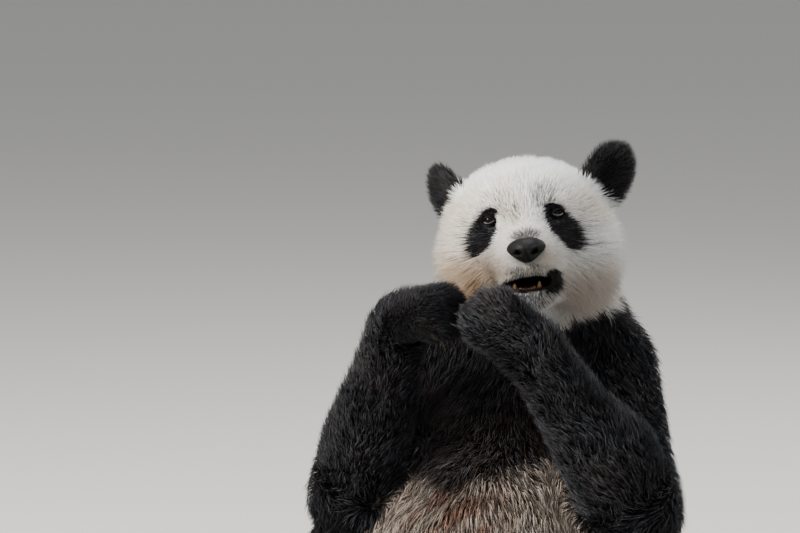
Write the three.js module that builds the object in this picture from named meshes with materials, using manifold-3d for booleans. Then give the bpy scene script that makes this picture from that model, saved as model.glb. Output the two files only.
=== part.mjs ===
// A giant panda, life size, sitting on its rump with both forepaws raised to its mouth and its head turned to its left.
// Millimetres, +Z up. It faces -Y, its own left is at +X, and the origin is the middle of its seat, on the floor.
// Every piece is the outer surface of the coat: a capsule wrapped onto smooth forms, then cut by its neighbours.
import * as THREE from "three";
import { mergeVertices } from "three/addons/utils/BufferGeometryUtils.js";
import Module from "manifold-3d";

const wasm = await Module();
wasm.setup();

// ---------------------------------------------------------------- driving dimensions

const GAP = 0.4; // clearance left between pieces that touch
const BURIED = 8; // how far the lowest forms dip below the floor before they are cut flat

const SHOULDER = { left: [148, 32, 580], right: [-146, 32, 598] };
const ELBOW = { left: [252, -134, 362], right: [-222, -138, 372] };
const WRIST = { left: [126, -277, 641], right: [-112, -245, 676] };
const KNUCKLES = { left: [66, -316, 700], right: [-40, -284, 710] };
const FINGERTIPS = { left: [38, -336, 716], right: [-2, -298, 672] };
const TOE_ROW = { left: [0.35, 0.25, 0.9], right: [0.25, 0.92, 0.3] }; // the way across the knuckles
const HIP = { left: [125, 42, 140], right: [-125, 42, 140] };
const KNEE = { left: [262, -172, 204], right: [-262, -172, 204] };
const ANKLE = { left: [250, -394, 84], right: [-250, -394, 84] };
const TOES = { left: [270, -438, 198], right: [-270, -438, 198] };

const ARM_RADII = { shoulder: 102, elbow: 82, wrist: 55 };
const FOREARM = { muscle: { left: [222, -178, 478], right: [-186, -176, 462] }, radii: [80, 78, 92] }; // the thick of it
const LEG_RADII = { hip: 148, knee: 113, ankle: 80 };
const NECK = { base: [34, 52, 650], top: [50, -8, 768], radii: [142, 130] };
const TAIL = { root: [0, 206, 92], tip: [0, 240, 40], radii: [52, 40] };

const HEAD = { centre: [49, -60, 800], yaw: 14.6, pitch: 4, roll: 7 }; // degrees; pitch lifts the nose
const EYE = { at: [53, -97, 36], radius: 11 };
const NOSE = { at: [0, -166, -14], radii: [31, 17, 20] };
const NOSTRIL = { at: [13, -181, -16], radii: [7, 8, 5] };
const GAPE = { at: [0, -118, -68], radii: [50, 58, 13] }; // the open mouth
const CHIN = { at: [0, -92, -104], radii: [58, 92, 38] }; // what of the face is the lower jaw
const CANINE = { at: [18, -131, -80], radius: 5, length: 19 };
const EAR = {
  radii: [52, 22, 67],
  left: { at: [140, 20, 79], turn: [8, 30, 8] },
  right: { at: [-119, 26, 74], turn: [8, -36, -60] }, // degrees about X, Y and Z
};

const FORE_CLAW = { count: 5, length: 19, radius: 4.4, droop: 10 };
const HIND_CLAW = { count: 5, length: 26, radius: 5, droop: 8 };

// ---------------------------------------------------------------- forms
// A form takes a point and gives how far it is outside the surface, in millimetres, negative inside.

const vector = (list) => new THREE.Vector3(...list);
const mirrored = ([x, y, z], side) => [side === "left" ? x : -x, y, z];
const turned = (degrees) =>
  new THREE.Quaternion().setFromEuler(new THREE.Euler(...degrees.map(THREE.MathUtils.degToRad), "ZYX"));

function egg(centre, radii, turn = [0, 0, 0]) {
  const [middle, half] = [vector(centre), vector(radii)];
  const unturn = turned(turn).invert();
  const q = new THREE.Vector3();
  return (p) => {
    const share = q.copy(p).sub(middle).applyQuaternion(unturn).divide(half).length();
    return share < 1e-6 ? -Math.min(...radii) : (share * (share - 1)) / q.divide(half).length();
  };
}

function taper(from, to, radiusFrom, radiusTo) {
  const [a, b] = [vector(from), vector(to)];
  const run = b.clone().sub(a);
  const q = new THREE.Vector3();
  return (p) => {
    const t = THREE.MathUtils.clamp(q.copy(p).sub(a).dot(run) / run.lengthSq(), 0, 1);
    return q.copy(a).addScaledVector(run, t).distanceTo(p) - THREE.MathUtils.lerp(radiusFrom, radiusTo, t);
  };
}

function melt(softness, ...forms) {
  return (p) =>
    forms
      .map((form) => form(p))
      .reduce((a, b) => {
        const near = Math.max(softness - Math.abs(a - b), 0) / softness;
        return Math.min(a, b) - (near * near * softness) / 4;
      });
}

// The same form, placed by a matrix.
function placed(matrix, form) {
  const inverse = matrix.clone().invert();
  const q = new THREE.Vector3();
  return (p) => form(q.copy(p).applyMatrix4(inverse));
}

// ---------------------------------------------------------------- wrapping and cutting

// A capsule round a spine, each of its vertices moved out from the spine until it meets the form.
function wrap(form, spine, { around, along, cap, side = [0, 0, 1], grow = 0, reach = 420 }) {
  const geometry = new THREE.CapsuleGeometry(1, 2, cap, around, along);
  const line = new THREE.CatmullRomCurve3(spine.map(vector));
  const corner = geometry.getAttribute("position");
  const [from, along_, across, up, ray, at] = Array.from({ length: 6 }, () => new THREE.Vector3());
  for (let i = 0; i < corner.count; i++) {
    const [x, y, z] = [corner.getX(i), corner.getY(i), corner.getZ(i)];
    const station = THREE.MathUtils.clamp(y, -1, 1);
    line.getPointAt((station + 1) / 2, from);
    line.getTangentAt((station + 1) / 2, along_);
    across.crossVectors(vector(side), along_).normalize();
    up.crossVectors(across, along_);
    ray.set(0, 0, 0).addScaledVector(across, x).addScaledVector(along_, y - station).addScaledVector(up, z);
    ray.normalize();
    let out = 0.5;
    for (let step = 0; step < 120; step++) {
      const miss = form(at.copy(ray).multiplyScalar(out).add(from)) - grow;
      if (Math.abs(miss) < 0.01 || out > reach) break;
      out = Math.max(out - 0.8 * miss, 0.5);
    }
    at.copy(ray).multiplyScalar(Math.min(out, reach)).add(from);
    corner.setXYZ(i, at.x, at.y, at.z);
  }
  return geometry;
}

// A closed geometry as a manifold-3d solid, with shared vertices merged and collapsed triangles dropped.
function solid(geometry) {
  const bare = geometry.clone();
  bare.deleteAttribute("normal");
  bare.deleteAttribute("uv");
  const merged = mergeVertices(bare, 1e-3);
  const [index, kept] = [merged.index.array, []];
  for (let i = 0; i < index.length; i += 3) {
    const [a, b, c] = [index[i], index[i + 1], index[i + 2]];
    if (a !== b && b !== c && c !== a) kept.push(a, b, c);
  }
  const vertProperties = new Float32Array(merged.getAttribute("position").array);
  return new wasm.Manifold(new wasm.Mesh({ numProp: 3, vertProperties, triVerts: new Uint32Array(kept) }));
}

function geometryOf(made) {
  const { numProp, numVert, vertProperties, triVerts } = made.getMesh();
  const position = new Float32Array(numVert * 3);
  for (let i = 0; i < numVert; i++) position.set(vertProperties.subarray(i * numProp, i * numProp + 3), i * 3);
  const geometry = new THREE.BufferGeometry();
  geometry.setAttribute("position", new THREE.BufferAttribute(position, 3));
  geometry.setIndex(new THREE.BufferAttribute(new Uint32Array(triVerts), 1));
  return geometry;
}

function largest(name, made) {
  const bodies = made.decompose();
  if (bodies.length === 0) throw new Error(name + " is cut away whole");
  return bodies.reduce((a, b) => (b.volume() > a.volume() ? b : a));
}

const floorBox = new THREE.BoxGeometry(2000, 2000, 200).translate(0, 0, -100);
const belowFloor = solid(floorBox);

// ---------------------------------------------------------------- the scene graph

const panda = new THREE.Group();
panda.name = "panda";
const taken = new Map(); // what later pieces are cut by: each earlier piece, grown by the gap

function joint(name, at, parent = panda) {
  const group = new THREE.Group();
  group.name = name;
  parent.updateMatrixWorld(true);
  group.position.copy(parent.worldToLocal(vector(at)));
  parent.add(group);
  group.updateMatrixWorld(true);
  return group;
}

// Adds a piece: its solid is cut by the floor and by every piece before it, but for those it is apart from already,
// and hung in its joint's own frame.
function piece(name, material, parent, { made, grown = made, apart = [] }) {
  const cutters = [...taken].filter(([other]) => !apart.includes(other)).map(([, cutter]) => cutter);
  const kept = largest(name, [...cutters, belowFloor].reduce((rest, cutter) => rest.subtract(cutter), made));
  taken.set(name, grown);
  const geometry = geometryOf(kept).applyMatrix4(parent.matrixWorld.clone().invert());
  const mesh = new THREE.Mesh(geometry, material);
  mesh.name = name;
  parent.add(mesh);
}

// The solid and the grown solid of a wrapped form, with whatever else is cut away from it or joined to it.
function wrapped(form, spine, options, { less = [], plus = [] } = {}) {
  const carve = (base) =>
    plus.reduce((all, more) => all.add(more), less.reduce((rest, hole) => rest.subtract(hole), base));
  return {
    made: carve(solid(wrap(form, spine, options))),
    grown: carve(solid(wrap(form, spine, { ...options, grow: GAP }))),
  };
}

const finish = (color, roughness, metalness = 0) => new THREE.MeshStandardMaterial({ color, roughness, metalness });
const FINISHES = {
  white: finish(0xe2dcd0, 0.85),
  black: finish(0x15130f, 0.7),
  belly: finish(0x8b7a6c, 0.9),
  leather: finish(0x1a1718, 0.45),
  eye: finish(0x1c110b, 0.08),
  claw: finish(0x2b2622, 0.4),
};

// ---------------------------------------------------------------- head

const headJoint = joint("head_joint", HEAD.centre);
headJoint.quaternion.copy(turned([-HEAD.pitch, 0, 0]));
headJoint.quaternion.premultiply(turned([0, -HEAD.roll, 0]));
headJoint.quaternion.premultiply(turned([0, 0, HEAD.yaw]));
headJoint.updateMatrixWorld(true);
const inHead = (form) => placed(headJoint.matrixWorld, form);
const headPoint = (list) => vector(list).applyMatrix4(headJoint.matrixWorld).toArray();
const headSpine = (...points) => points.map(headPoint);

const both = (make) => ["left", "right"].map((side) => make(side));
const pair = (centre, radii, turn = [0, 0, 0]) => [
  egg(centre, radii, turn),
  egg(mirrored(centre, "right"), radii, [turn[0], -turn[1], -turn[2]]),
];

const gape = solid(
  wrap(inHead(egg(GAPE.at, GAPE.radii, [-6, 0, 0])), headSpine([0, -110, -69], [0, -134, -69]), {
    around: 14, along: 1, cap: 4,
  }),
);

both((side) => {
  const at = mirrored(EYE.at, side);
  const form = inHead(egg(at, [EYE.radius, EYE.radius, EYE.radius]));
  const spine = headSpine([at[0], at[1] - 1, at[2]], [at[0], at[1] + 1, at[2]]);
  piece("eye_" + side, FINISHES.eye, headJoint, wrapped(form, spine, { around: 10, along: 1, cap: 3 }));
});

const nostrils = both((side) => {
  const at = mirrored(NOSTRIL.at, side);
  const form = inHead(egg(at, NOSTRIL.radii, [0, side === "left" ? 25 : -25, 0]));
  return solid(wrap(form, headSpine([at[0], at[1] - 1, at[2]], [at[0], at[1] + 1, at[2]]), { around: 6, along: 1, cap: 2 }));
});
const noseForm = inHead(
  melt(10, egg(NOSE.at, NOSE.radii), egg([0, NOSE.at[1] + 4, NOSE.at[2] - 16], [13, 12, 12])),
);
piece("nose", FINISHES.leather, headJoint,
  wrapped(noseForm, headSpine([-8, -170, -14], [8, -170, -14]), { around: 14, along: 1, cap: 3 }, { less: nostrils }));

const skullForm = melt(
  46,
  egg([0, 22, 18], [132, 134, 108]),
  egg([0, -44, 38], [92, 64, 66]),
  ...pair([74, -8, -40], [84, 90, 88]),
  egg([0, 8, -86], [112, 88, 72]),
);
const browForm = pair([50, -80, 60], [32, 24, 17], [0, 18, 0]);
const muzzleForm = melt(
  24,
  egg([0, -96, -30], [60, 62, 46]),
  egg([0, -126, -22], [40, 46, 33]),
  ...pair([27, -122, -44], [29, 36, 25]),
);
const jawForm = melt(24, taper([0, -40, -94], [0, -117, -96], 44, 26), ...pair([20, -112, -92], [24, 30, 22]));
const headForm = inHead(melt(32, skullForm, ...browForm, muzzleForm, jawForm));
const headSpan = headSpine([0, 62, 0], [0, 0, -6], [0, -70, -24]);
const headMesh = { around: 28, along: 4, cap: 7 };

// The lower jaw is the chin's share of the face, with the two canines that show in the open mouth.
const canines = both((side) => {
  const tooth = new THREE.ConeGeometry(CANINE.radius, CANINE.length, 8, 1).rotateX(Math.PI / 2);
  return solid(tooth.translate(...mirrored(CANINE.at, side)).applyMatrix4(headJoint.matrixWorld));
});
const chinForm = inHead(egg(CHIN.at, CHIN.radii));
const chinSpan = headSpine([0, -80, -104], [0, -104, -104]);
const face = wrapped(headForm, headSpan, headMesh, { less: [gape] });
const chin = wrapped(chinForm, chinSpan, { around: 14, along: 1, cap: 4 });
const toothed = (bone) => canines.reduce((all, tooth) => all.add(tooth), bone);
piece("jaw", FINISHES.white, headJoint,
  { made: toothed(face.made.intersect(chin.made)), grown: toothed(face.grown.intersect(chin.grown)) });

const sockets = both((side) => {
  const at = mirrored([EYE.at[0], EYE.at[1] - 13, EYE.at[2]], side);
  const form = inHead(egg(at, [18, 17, 13], [0, side === "left" ? 20 : -20, 0]));
  return solid(wrap(form, headSpine([at[0], at[1] - 1, at[2]], [at[0], at[1] + 1, at[2]]), { around: 10, along: 1, cap: 2 }));
});
const skull = [...sockets, ...canines, chin.grown].reduce((rest, hole) => rest.subtract(hole), face.made);
piece("head", FINISHES.white, headJoint, { made: skull, grown: face.grown, apart: ["jaw"] });

for (const side of ["left", "right"]) {
  const { at, turn } = EAR[side];
  const aim = turned(turn);
  const rise = vector([0, 0, 30]).applyQuaternion(aim);
  const span = (middle, share) =>
    headSpine(...[-share, share].map((t) => vector(middle).addScaledVector(rise, t).toArray()));
  const bowlAt = vector(at).add(vector([0, -EAR.radii[1] - 2, 9]).applyQuaternion(aim)).toArray();
  const bowlForm = inHead(egg(bowlAt, [31, 16, 38], turn));
  const bowl = solid(wrap(bowlForm, span(bowlAt, 0.5), { around: 10, along: 1, cap: 2, side: [0, 1, 0] }));
  piece("ear_" + side, FINISHES.black, headJoint,
    wrapped(inHead(egg(at, EAR.radii, turn)), span(at, 1), { around: 12, along: 2, cap: 3, side: [0, 1, 0] },
      { less: [bowl] }));
}

// ---------------------------------------------------------------- trunk, neck and tail

// One form from rump to nape, parted by planes at the waist and at the collar.
const trunkForm = melt(
  60,
  egg([0, 30, 172], [232, 226, 172 + BURIED]),
  egg([0, -72, 286], [224, 228, 212]),
  egg([0, 82, 380], [208, 168, 215]),
  egg([8, 28, 505], [186, 172, 168]),
  egg([142, 35, 580], [90, 106, 100]),
  egg([-140, 35, 588], [90, 106, 100]),
  egg([14, 80, 640], [122, 108, 88]),
  taper(NECK.base, NECK.top, ...NECK.radii),
);
const trunk = wrapped(
  trunkForm,
  [[0, 20, 160], [0, 6, 290], [4, 30, 430], [14, 40, 580], [32, 14, 700], [44, -14, 780]],
  { around: 22, along: 13, cap: 3, side: [0, 1, 0] },
);
const slab = (at, tilt, raise = 0) =>
  solid(new THREE.BoxGeometry(1400, 1400, 1000).translate(0, 0, raise - 500).rotateX(THREE.MathUtils.degToRad(tilt))
    .translate(...at));
const [waist, waistTilt] = [[0, -150, 476], -12];
const [collar, collarTilt] = [[20, 40, 712], 12];
const chestJoint = joint("chest_joint", [0, 60, 420]);
const [belowWaist, belowCollar] = [slab(waist, waistTilt), slab(collar, collarTilt)];
const [toChest, toNeck] = [slab(waist, waistTilt, GAP), slab(collar, collarTilt, GAP)];
piece("abdomen", FINISHES.belly, panda, { made: trunk.made.intersect(belowWaist), grown: trunk.grown.intersect(toChest) });
piece("chest", FINISHES.black, chestJoint,
  { made: trunk.made.intersect(belowCollar).subtract(toChest), grown: trunk.grown.intersect(toNeck), apart: ["abdomen"] });
piece("neck", FINISHES.white, chestJoint,
  { made: trunk.made.subtract(toNeck), grown: trunk.grown, apart: ["abdomen", "chest"] });
piece("tail", FINISHES.white, panda,
  wrapped(taper(TAIL.root, TAIL.tip, ...TAIL.radii), [TAIL.root, TAIL.tip], { around: 10, along: 1, cap: 3 }));

// ---------------------------------------------------------------- limbs

// A claw: a cone that bends down along a parabola, its base buried in the toe.
function claw({ length, radius, droop }, at, forward, down) {
  const cone = new THREE.ConeGeometry(radius, length, 5, 2).translate(0, length / 2, 0);
  const corner = cone.getAttribute("position");
  const side = down.clone().cross(forward).normalize();
  for (let i = 0; i < corner.count; i++) {
    const share = corner.getY(i) / length;
    const p = at.clone().addScaledVector(forward, corner.getY(i));
    p.addScaledVector(down, droop * share * share + corner.getX(i)).addScaledVector(side, corner.getZ(i));
    corner.setXYZ(i, p.x, p.y, p.z);
  }
  return solid(cone);
}

// A paw: a palm that ends in a row of plump toes, each with its own claw.
// knuckle is the middle of the toe row, tip where the toes point, and broad the way across the row.
function paw(name, parent, { palm, palmRadius, knuckle, tip, broad, facing, width, toeRadius, extra = [], clawSize }) {
  const reachDown = vector(tip).sub(vector(knuckle));
  const toes = Array.from({ length: clawSize.count }, (_, i) => {
    const share = (i / (clawSize.count - 1)) * 2 - 1;
    const root = vector(knuckle).addScaledVector(broad, (share * width) / 2);
    const bend = 1 - 0.22 * share * share;
    return { root, end: root.clone().addScaledVector(reachDown, bend) };
  });
  const halves = [-1, 1].map((half) =>
    taper(vector(palm).addScaledVector(broad, half * palmRadius * 0.2).toArray(),
      vector(knuckle).addScaledVector(broad, half * width * 0.28).toArray(), palmRadius * 0.92, palmRadius * 0.7));
  const form = melt(
    18,
    ...halves,
    ...toes.map((toe) => taper(toe.root.toArray(), toe.end.toArray(), toeRadius * 1.15, toeRadius)),
    ...extra,
  );
  const spineEnd = vector(knuckle).addScaledVector(reachDown, 0.25).toArray();
  piece(name, FINISHES.black, parent,
    wrapped(form, [palm, spineEnd], { around: 16, along: 3, cap: 3, side: broad.toArray(), reach: 150 }));
  const forward = reachDown.clone().normalize();
  const down = forward.clone().cross(broad).normalize();
  if (down.y * facing < 0) down.negate();
  toes.forEach((toe, i) => {
    const root = toe.end.clone().addScaledVector(forward, toeRadius * 0.3);
    piece(`${name}_claw_${i + 1}`, FINISHES.claw, parent, { made: claw(clawSize, root, forward, down) });
  });
}

const LIMB = { around: 13, along: 3, cap: 3 };

for (const side of ["left", "right"]) {
  const shoulder = joint("shoulder_" + side, SHOULDER[side], chestJoint);
  const elbow = joint("elbow_" + side, ELBOW[side], shoulder);
  const wrist = joint("wrist_" + side, WRIST[side], elbow);
  const upper = taper(SHOULDER[side], ELBOW[side], ARM_RADII.shoulder, ARM_RADII.elbow);
  const lower = taper(ELBOW[side], WRIST[side], ARM_RADII.elbow - 2, ARM_RADII.wrist);
  piece("upper_arm_" + side, FINISHES.black, shoulder,
    wrapped(melt(24, upper, egg(ELBOW[side], [80, 78, 78])), [SHOULDER[side], ELBOW[side]], LIMB));
  const muscle = egg(FOREARM.muscle[side], FOREARM.radii);
  piece("forearm_" + side, FINISHES.black, elbow,
    wrapped(melt(30, lower, muscle), [ELBOW[side], WRIST[side]], { ...LIMB, reach: 200 }));
  const along = vector(KNUCKLES[side]).sub(vector(WRIST[side])).normalize();
  const broad = vector(TOE_ROW[side]).projectOnPlane(along).normalize();
  const thumb = vector(WRIST[side]).lerp(vector(KNUCKLES[side]), 0.55).toArray();
  paw("forepaw_" + side, wrist, {
    palm: WRIST[side], palmRadius: 50, knuckle: KNUCKLES[side], tip: FINGERTIPS[side], broad, facing: 1,
    width: 70, toeRadius: 19, clawSize: FORE_CLAW,
    extra: [egg([thumb[0], thumb[1] - 6, thumb[2] - 26], [24, 24, 24])],
  });
}

for (const side of ["left", "right"]) {
  const hip = joint("hip_" + side, HIP[side]);
  const knee = joint("knee_" + side, KNEE[side], hip);
  const ankle = joint("ankle_" + side, ANKLE[side], knee);
  piece("thigh_" + side, FINISHES.black, hip,
    wrapped(taper(HIP[side], KNEE[side], LEG_RADII.hip, LEG_RADII.knee), [HIP[side], KNEE[side]], LIMB));
  piece("shank_" + side, FINISHES.black, knee,
    wrapped(taper(KNEE[side], ANKLE[side], LEG_RADII.knee - 4, LEG_RADII.ankle + 6), [KNEE[side], ANKLE[side]], LIMB));
  const heel = [ANKLE[side][0], ANKLE[side][1] - 26, 46];
  const knuckle = vector(ANKLE[side]).lerp(vector(TOES[side]), 0.66).toArray();
  paw("hindfoot_" + side, ankle, {
    palm: heel, palmRadius: 56, knuckle, tip: TOES[side], broad: vector([1, 0, 0]), facing: -1,
    width: 92, toeRadius: 21, clawSize: HIND_CLAW, extra: [egg(ANKLE[side], [64, 58, 62])],
  });
}

export default panda;
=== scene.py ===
"""A giant panda, life size, sitting with both forepaws at its mouth.

One skin replaces the flesh, a coat of solid tufts grows over it, and the eyes, nose, mouth, claws and pads stay bare.
"""

import math

import bmesh
import bpy
import numpy as np
from mathutils import Matrix, Vector
from mathutils.bvhtree import BVHTree
from mathutils.kdtree import KDTree


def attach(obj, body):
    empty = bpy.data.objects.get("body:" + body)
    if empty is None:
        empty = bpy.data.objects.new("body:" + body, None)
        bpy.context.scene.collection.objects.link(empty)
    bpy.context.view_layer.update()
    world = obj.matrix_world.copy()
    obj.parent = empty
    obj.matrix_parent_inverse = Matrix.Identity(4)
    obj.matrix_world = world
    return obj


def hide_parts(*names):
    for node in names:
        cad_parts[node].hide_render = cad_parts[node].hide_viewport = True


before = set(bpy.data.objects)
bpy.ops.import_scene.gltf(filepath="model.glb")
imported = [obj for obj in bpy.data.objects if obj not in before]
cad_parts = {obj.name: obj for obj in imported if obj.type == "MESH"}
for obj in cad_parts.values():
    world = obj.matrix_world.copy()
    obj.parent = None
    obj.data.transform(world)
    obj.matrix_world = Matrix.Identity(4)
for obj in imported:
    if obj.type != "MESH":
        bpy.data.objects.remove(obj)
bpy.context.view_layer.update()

bl_info = {
    "name": "Giant Panda",
    "version": (1, 0, 0),
    "blender": (4, 5, 0),
    "location": "View3D > Sidebar > Panda",
    "description": "Builds a seated giant panda with a mesh coat",
    "category": "Add Mesh",
}

# ---------------------------------------------------------------- the body's landmarks, in millimetres

MM = 0.001
HEAD_CENTRE = (49, -60, 800)
HEAD_YAW, HEAD_PITCH, HEAD_ROLL = 14.6, 4, 7
SHOULDER = {"left": (148, 32, 580), "right": (-146, 32, 598)}
ELBOW = {"left": (252, -134, 362), "right": (-222, -138, 372)}
WRIST = {"left": (126, -277, 641), "right": (-112, -245, 676)}
KNUCKLES = {"left": (66, -316, 700), "right": (-40, -284, 710)}
FINGERTIPS = {"left": (38, -336, 716), "right": (-2, -298, 672)}
HIP = {"left": (125, 42, 140), "right": (-125, 42, 140)}
KNEE = {"left": (262, -172, 204), "right": (-262, -172, 204)}
ANKLE = {"left": (250, -394, 84), "right": (-250, -394, 84)}
TOES = {"left": (270, -438, 198), "right": (-270, -438, 198)}
TAIL_ROOT, TAIL_TIP = (0, 206, 92), (0, 240, 40)
EYE = (53, -97, 36)  # in the head's own frame, as are the next four
NOSE = (0, -166, -14)
GAPE, GAPE_RADII = (0, -118, -68), (50, 58, 13)
EAR = {"left": (140, 20, 79), "right": (-119, 26, 74)}
SIDES = ("left", "right")
SKULL = ("head", "jaw")  # kinds of node
PAW_KINDS = ("forepaw", "hindfoot")
LIMBS = ("upper_arm", "forearm", "thigh", "shank") + PAW_KINDS
TRUNK = ("abdomen", "chest", "neck")

FLESH = sorted(
    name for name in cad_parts
    if not name.startswith(("eye", "nose")) and "claw" not in name
)

HEAD = (
    Matrix.Translation(Vector(HEAD_CENTRE) * MM)
    @ Matrix.Rotation(math.radians(HEAD_YAW), 4, "Z")
    @ Matrix.Rotation(math.radians(-HEAD_ROLL), 4, "Y")
    @ Matrix.Rotation(math.radians(-HEAD_PITCH), 4, "X")
)


def metres(point):
    """A landmark in millimetres as an array in metres."""
    return np.array(point, float) * MM


def head_to_world(point_mm):
    """One head point in millimetres as a world point in metres."""
    return HEAD @ (Vector(point_mm) * MM)


def head_places(points_mm):
    """Head points in millimetres as world points in metres."""
    matrix = np.array(HEAD)
    return np.asarray(points_mm) * MM @ matrix[:3, :3].T + matrix[:3, 3]


def in_head(points):
    """World points in metres as head points in millimetres."""
    inverse = np.array(HEAD.inverted())
    return (points @ inverse[:3, :3].T + inverse[:3, 3]) / MM


def head_ways(directions):
    """Directions in the head's frame as directions in the world."""
    return directions @ np.array(HEAD)[:3, :3].T


# ---------------------------------------------------------------- colour


def linear(hex_code):
    """An sRGB hex colour as linear red, green, blue and alpha."""
    parts = [int(hex_code[i : i + 2], 16) / 255 for i in (1, 3, 5)]
    return tuple(c / 12.92 if c <= 0.04045 else ((c + 0.055) / 1.055) ** 2.4 for c in parts) + (1.0,)


def rgb(hex_code):
    return np.array(linear(hex_code)[:3])


# ---------------------------------------------------------------- settings


class PandaCoat(bpy.types.PropertyGroup):
    voxel: bpy.props.FloatProperty(
        name="Skin grain", description="Size of the skin's mesh squares", default=0.0074, min=0.004, unit="LENGTH")
    sparseness: bpy.props.FloatProperty(
        name="Sparseness", description="Distance between tufts, against the coat table's", default=1.0, min=0.7)
    clumping: bpy.props.FloatProperty(
        name="Clumping", description="How far tips are drawn together into locks", default=0.35, subtype="FACTOR")
    seed: bpy.props.IntProperty(name="Seed", description="Start of the random draws", default=11)


class PandaColours(bpy.types.PropertyGroup):
    white: bpy.props.FloatVectorProperty(
        name="White coat", description="Clean white hair", subtype="COLOR", size=3, default=linear("#F2F1EF")[:3])
    cream: bpy.props.FloatVectorProperty(
        name="Cream coat", description="White hair with a little dust in it", subtype="COLOR", size=3,
        default=linear("#D5CABA")[:3])
    black: bpy.props.FloatVectorProperty(
        name="Black coat", description="Black hair", subtype="COLOR", size=3, default=linear("#0B0A0B")[:3])
    # The brown also lightens black hair low on the trunk, partly as painted light for the breast that the arms shade.
    brown: bpy.props.FloatVectorProperty(
        name="Brown cast", description="Black hair bleached by the sun", subtype="COLOR", size=3,
        default=linear("#2A211D")[:3])
    belly: bpy.props.FloatVectorProperty(
        name="Belly", description="Dusty belly hair", subtype="COLOR", size=3, default=linear("#A89A8E")[:3])
    rust: bpy.props.FloatVectorProperty(
        name="Belly stain", description="Reddish earth in the belly hair", subtype="COLOR", size=3,
        default=linear("#8A5C49")[:3])
    tan: bpy.props.FloatVectorProperty(
        name="Cheek stain", description="Sap and dust on the right cheek", subtype="COLOR", size=3,
        default=linear("#C3A27E")[:3])


# ---------------------------------------------------------------- mesh helpers


MERGE = 1e-5  # metres: vertices nearer than this are one


def new_object(name, mesh, material, replaces=()):
    """A visible piece that rides the root, and instead of the nodes that it replaces."""
    made = bpy.data.objects.new(name, mesh)
    bpy.context.scene.collection.objects.link(made)
    made.data.materials.append(material)
    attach(made, "root")
    if replaces:
        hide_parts(*replaces)
    return made


def read(collection, name, width, kind=np.float32):
    """One field of every item, as rows of this width."""
    values = np.empty(len(collection) * width, kind)
    collection.foreach_get(name, values)
    return values.reshape(-1, width) if width > 1 else values


def places(mesh):
    return read(mesh.vertices, "co", 3).astype(float)


def set_places(mesh, points):
    mesh.vertices.foreach_set("co", points.astype(np.float32).ravel())


def shade_smooth(mesh):
    mesh.polygons.foreach_set("use_smooth", np.ones(len(mesh.polygons), bool))


def store(mesh, name, kind, values):
    """Keeps one value for each vertex as a named attribute."""
    attribute = mesh.attributes.new(name, kind, "POINT")
    key = {"FLOAT": "value", "FLOAT_VECTOR": "vector", "FLOAT_COLOR": "color"}[kind]
    attribute.data.foreach_set(key, np.ascontiguousarray(values, np.float32).ravel())


def stored(mesh, name, width):
    """An attribute that store kept."""
    key = {1: "value", 3: "vector"}[width]
    return read(mesh.attributes[name].data, key, width).astype(float)


def unit(vectors):
    return vectors / np.maximum(np.linalg.norm(vectors, axis=-1, keepdims=True), 1e-12)


def dot(a, b):
    """The dot product of each row of a with the same row of b."""
    return np.einsum("ij,ij->i", a, b)


def smooth_step(low, high, value):
    """Eases from 0 at low to 1 at high, or down where low is the greater."""
    t = np.clip((value - low) / (high - low), 0, 1)
    return t * t * (3 - 2 * t)


def mix(a, b, share):
    """Goes from a to b by share, which may be one number for each row of colours."""
    share = np.asarray(share, float)
    if share.ndim == 1 and (3,) in (np.shape(a)[-1:], np.shape(b)[-1:]):
        share = share[:, None]
    return a * (1 - share) + b * share


def wander(points, size, seed):
    """Smooth noise from -1 to 1 at metre points, made of crossed waves about size metres long and half that."""
    draw = np.random.default_rng(seed)
    total = np.zeros(len(points))
    waves = 5
    for octave in range(2):
        scale = 2 * math.pi / (size / 2**octave)
        for _ in range(waves):
            axis = unit(draw.normal(size=3)) * scale * draw.uniform(0.7, 1.4)
            total += np.sin(points @ axis + draw.uniform(0, 6.28)) / (waves * 2**octave)
    return np.clip(total * 1.9, -1, 1)


def moulded(columns, rows, place):
    """A grid laid onto a closed shape: place takes u round it and v along it, both 0 to 1, and gives metres."""
    made = bmesh.new()
    bmesh.ops.create_grid(made, x_segments=columns, y_segments=rows, size=1)
    flat = np.array([v.co[:2] for v in made.verts]) / 2 + 0.5
    for vertex, point in zip(made.verts, place(flat[:, 0], flat[:, 1])):
        vertex.co = point
    bmesh.ops.remove_doubles(made, verts=made.verts, dist=MERGE)
    bmesh.ops.recalc_face_normals(made, faces=made.faces)
    return made


def smooth_mesh(name, *shells):
    """One mesh of several bmeshes, shaded smooth."""
    mesh = bpy.data.meshes.new(name)
    joined = bmesh.new()
    for shell in shells:
        part = bpy.data.meshes.new("part")
        shell.to_mesh(part)
        shell.free()
        joined.from_mesh(part)
        bpy.data.meshes.remove(part)
    joined.to_mesh(mesh)
    joined.free()
    shade_smooth(mesh)
    return mesh


class Web:
    """The vertices and edges of a mesh, for spreading values from neighbour to neighbour."""

    def __init__(self, mesh):
        self.count = len(mesh.vertices)
        edges = read(mesh.edges, "vertices", 2, np.int32)
        self.start = np.concatenate([edges[:, 0], edges[:, 1]])
        self.end = np.concatenate([edges[:, 1], edges[:, 0]])
        self.degree = np.maximum(np.bincount(self.start, minlength=self.count), 1)

    def spread(self, values, rounds, share=1.0):
        """Each round moves every vertex's values by this share toward the mean of its neighbours'."""
        flat = values.reshape(self.count, -1).astype(float)
        share = np.broadcast_to(share, (self.count,))
        for _ in range(rounds):
            for column in range(flat.shape[1]):
                near = np.bincount(self.start, flat[self.end, column], self.count) / self.degree
                flat[:, column] += (near - flat[:, column]) * share
        return flat.reshape(values.shape)


# ---------------------------------------------------------------- materials


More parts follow.
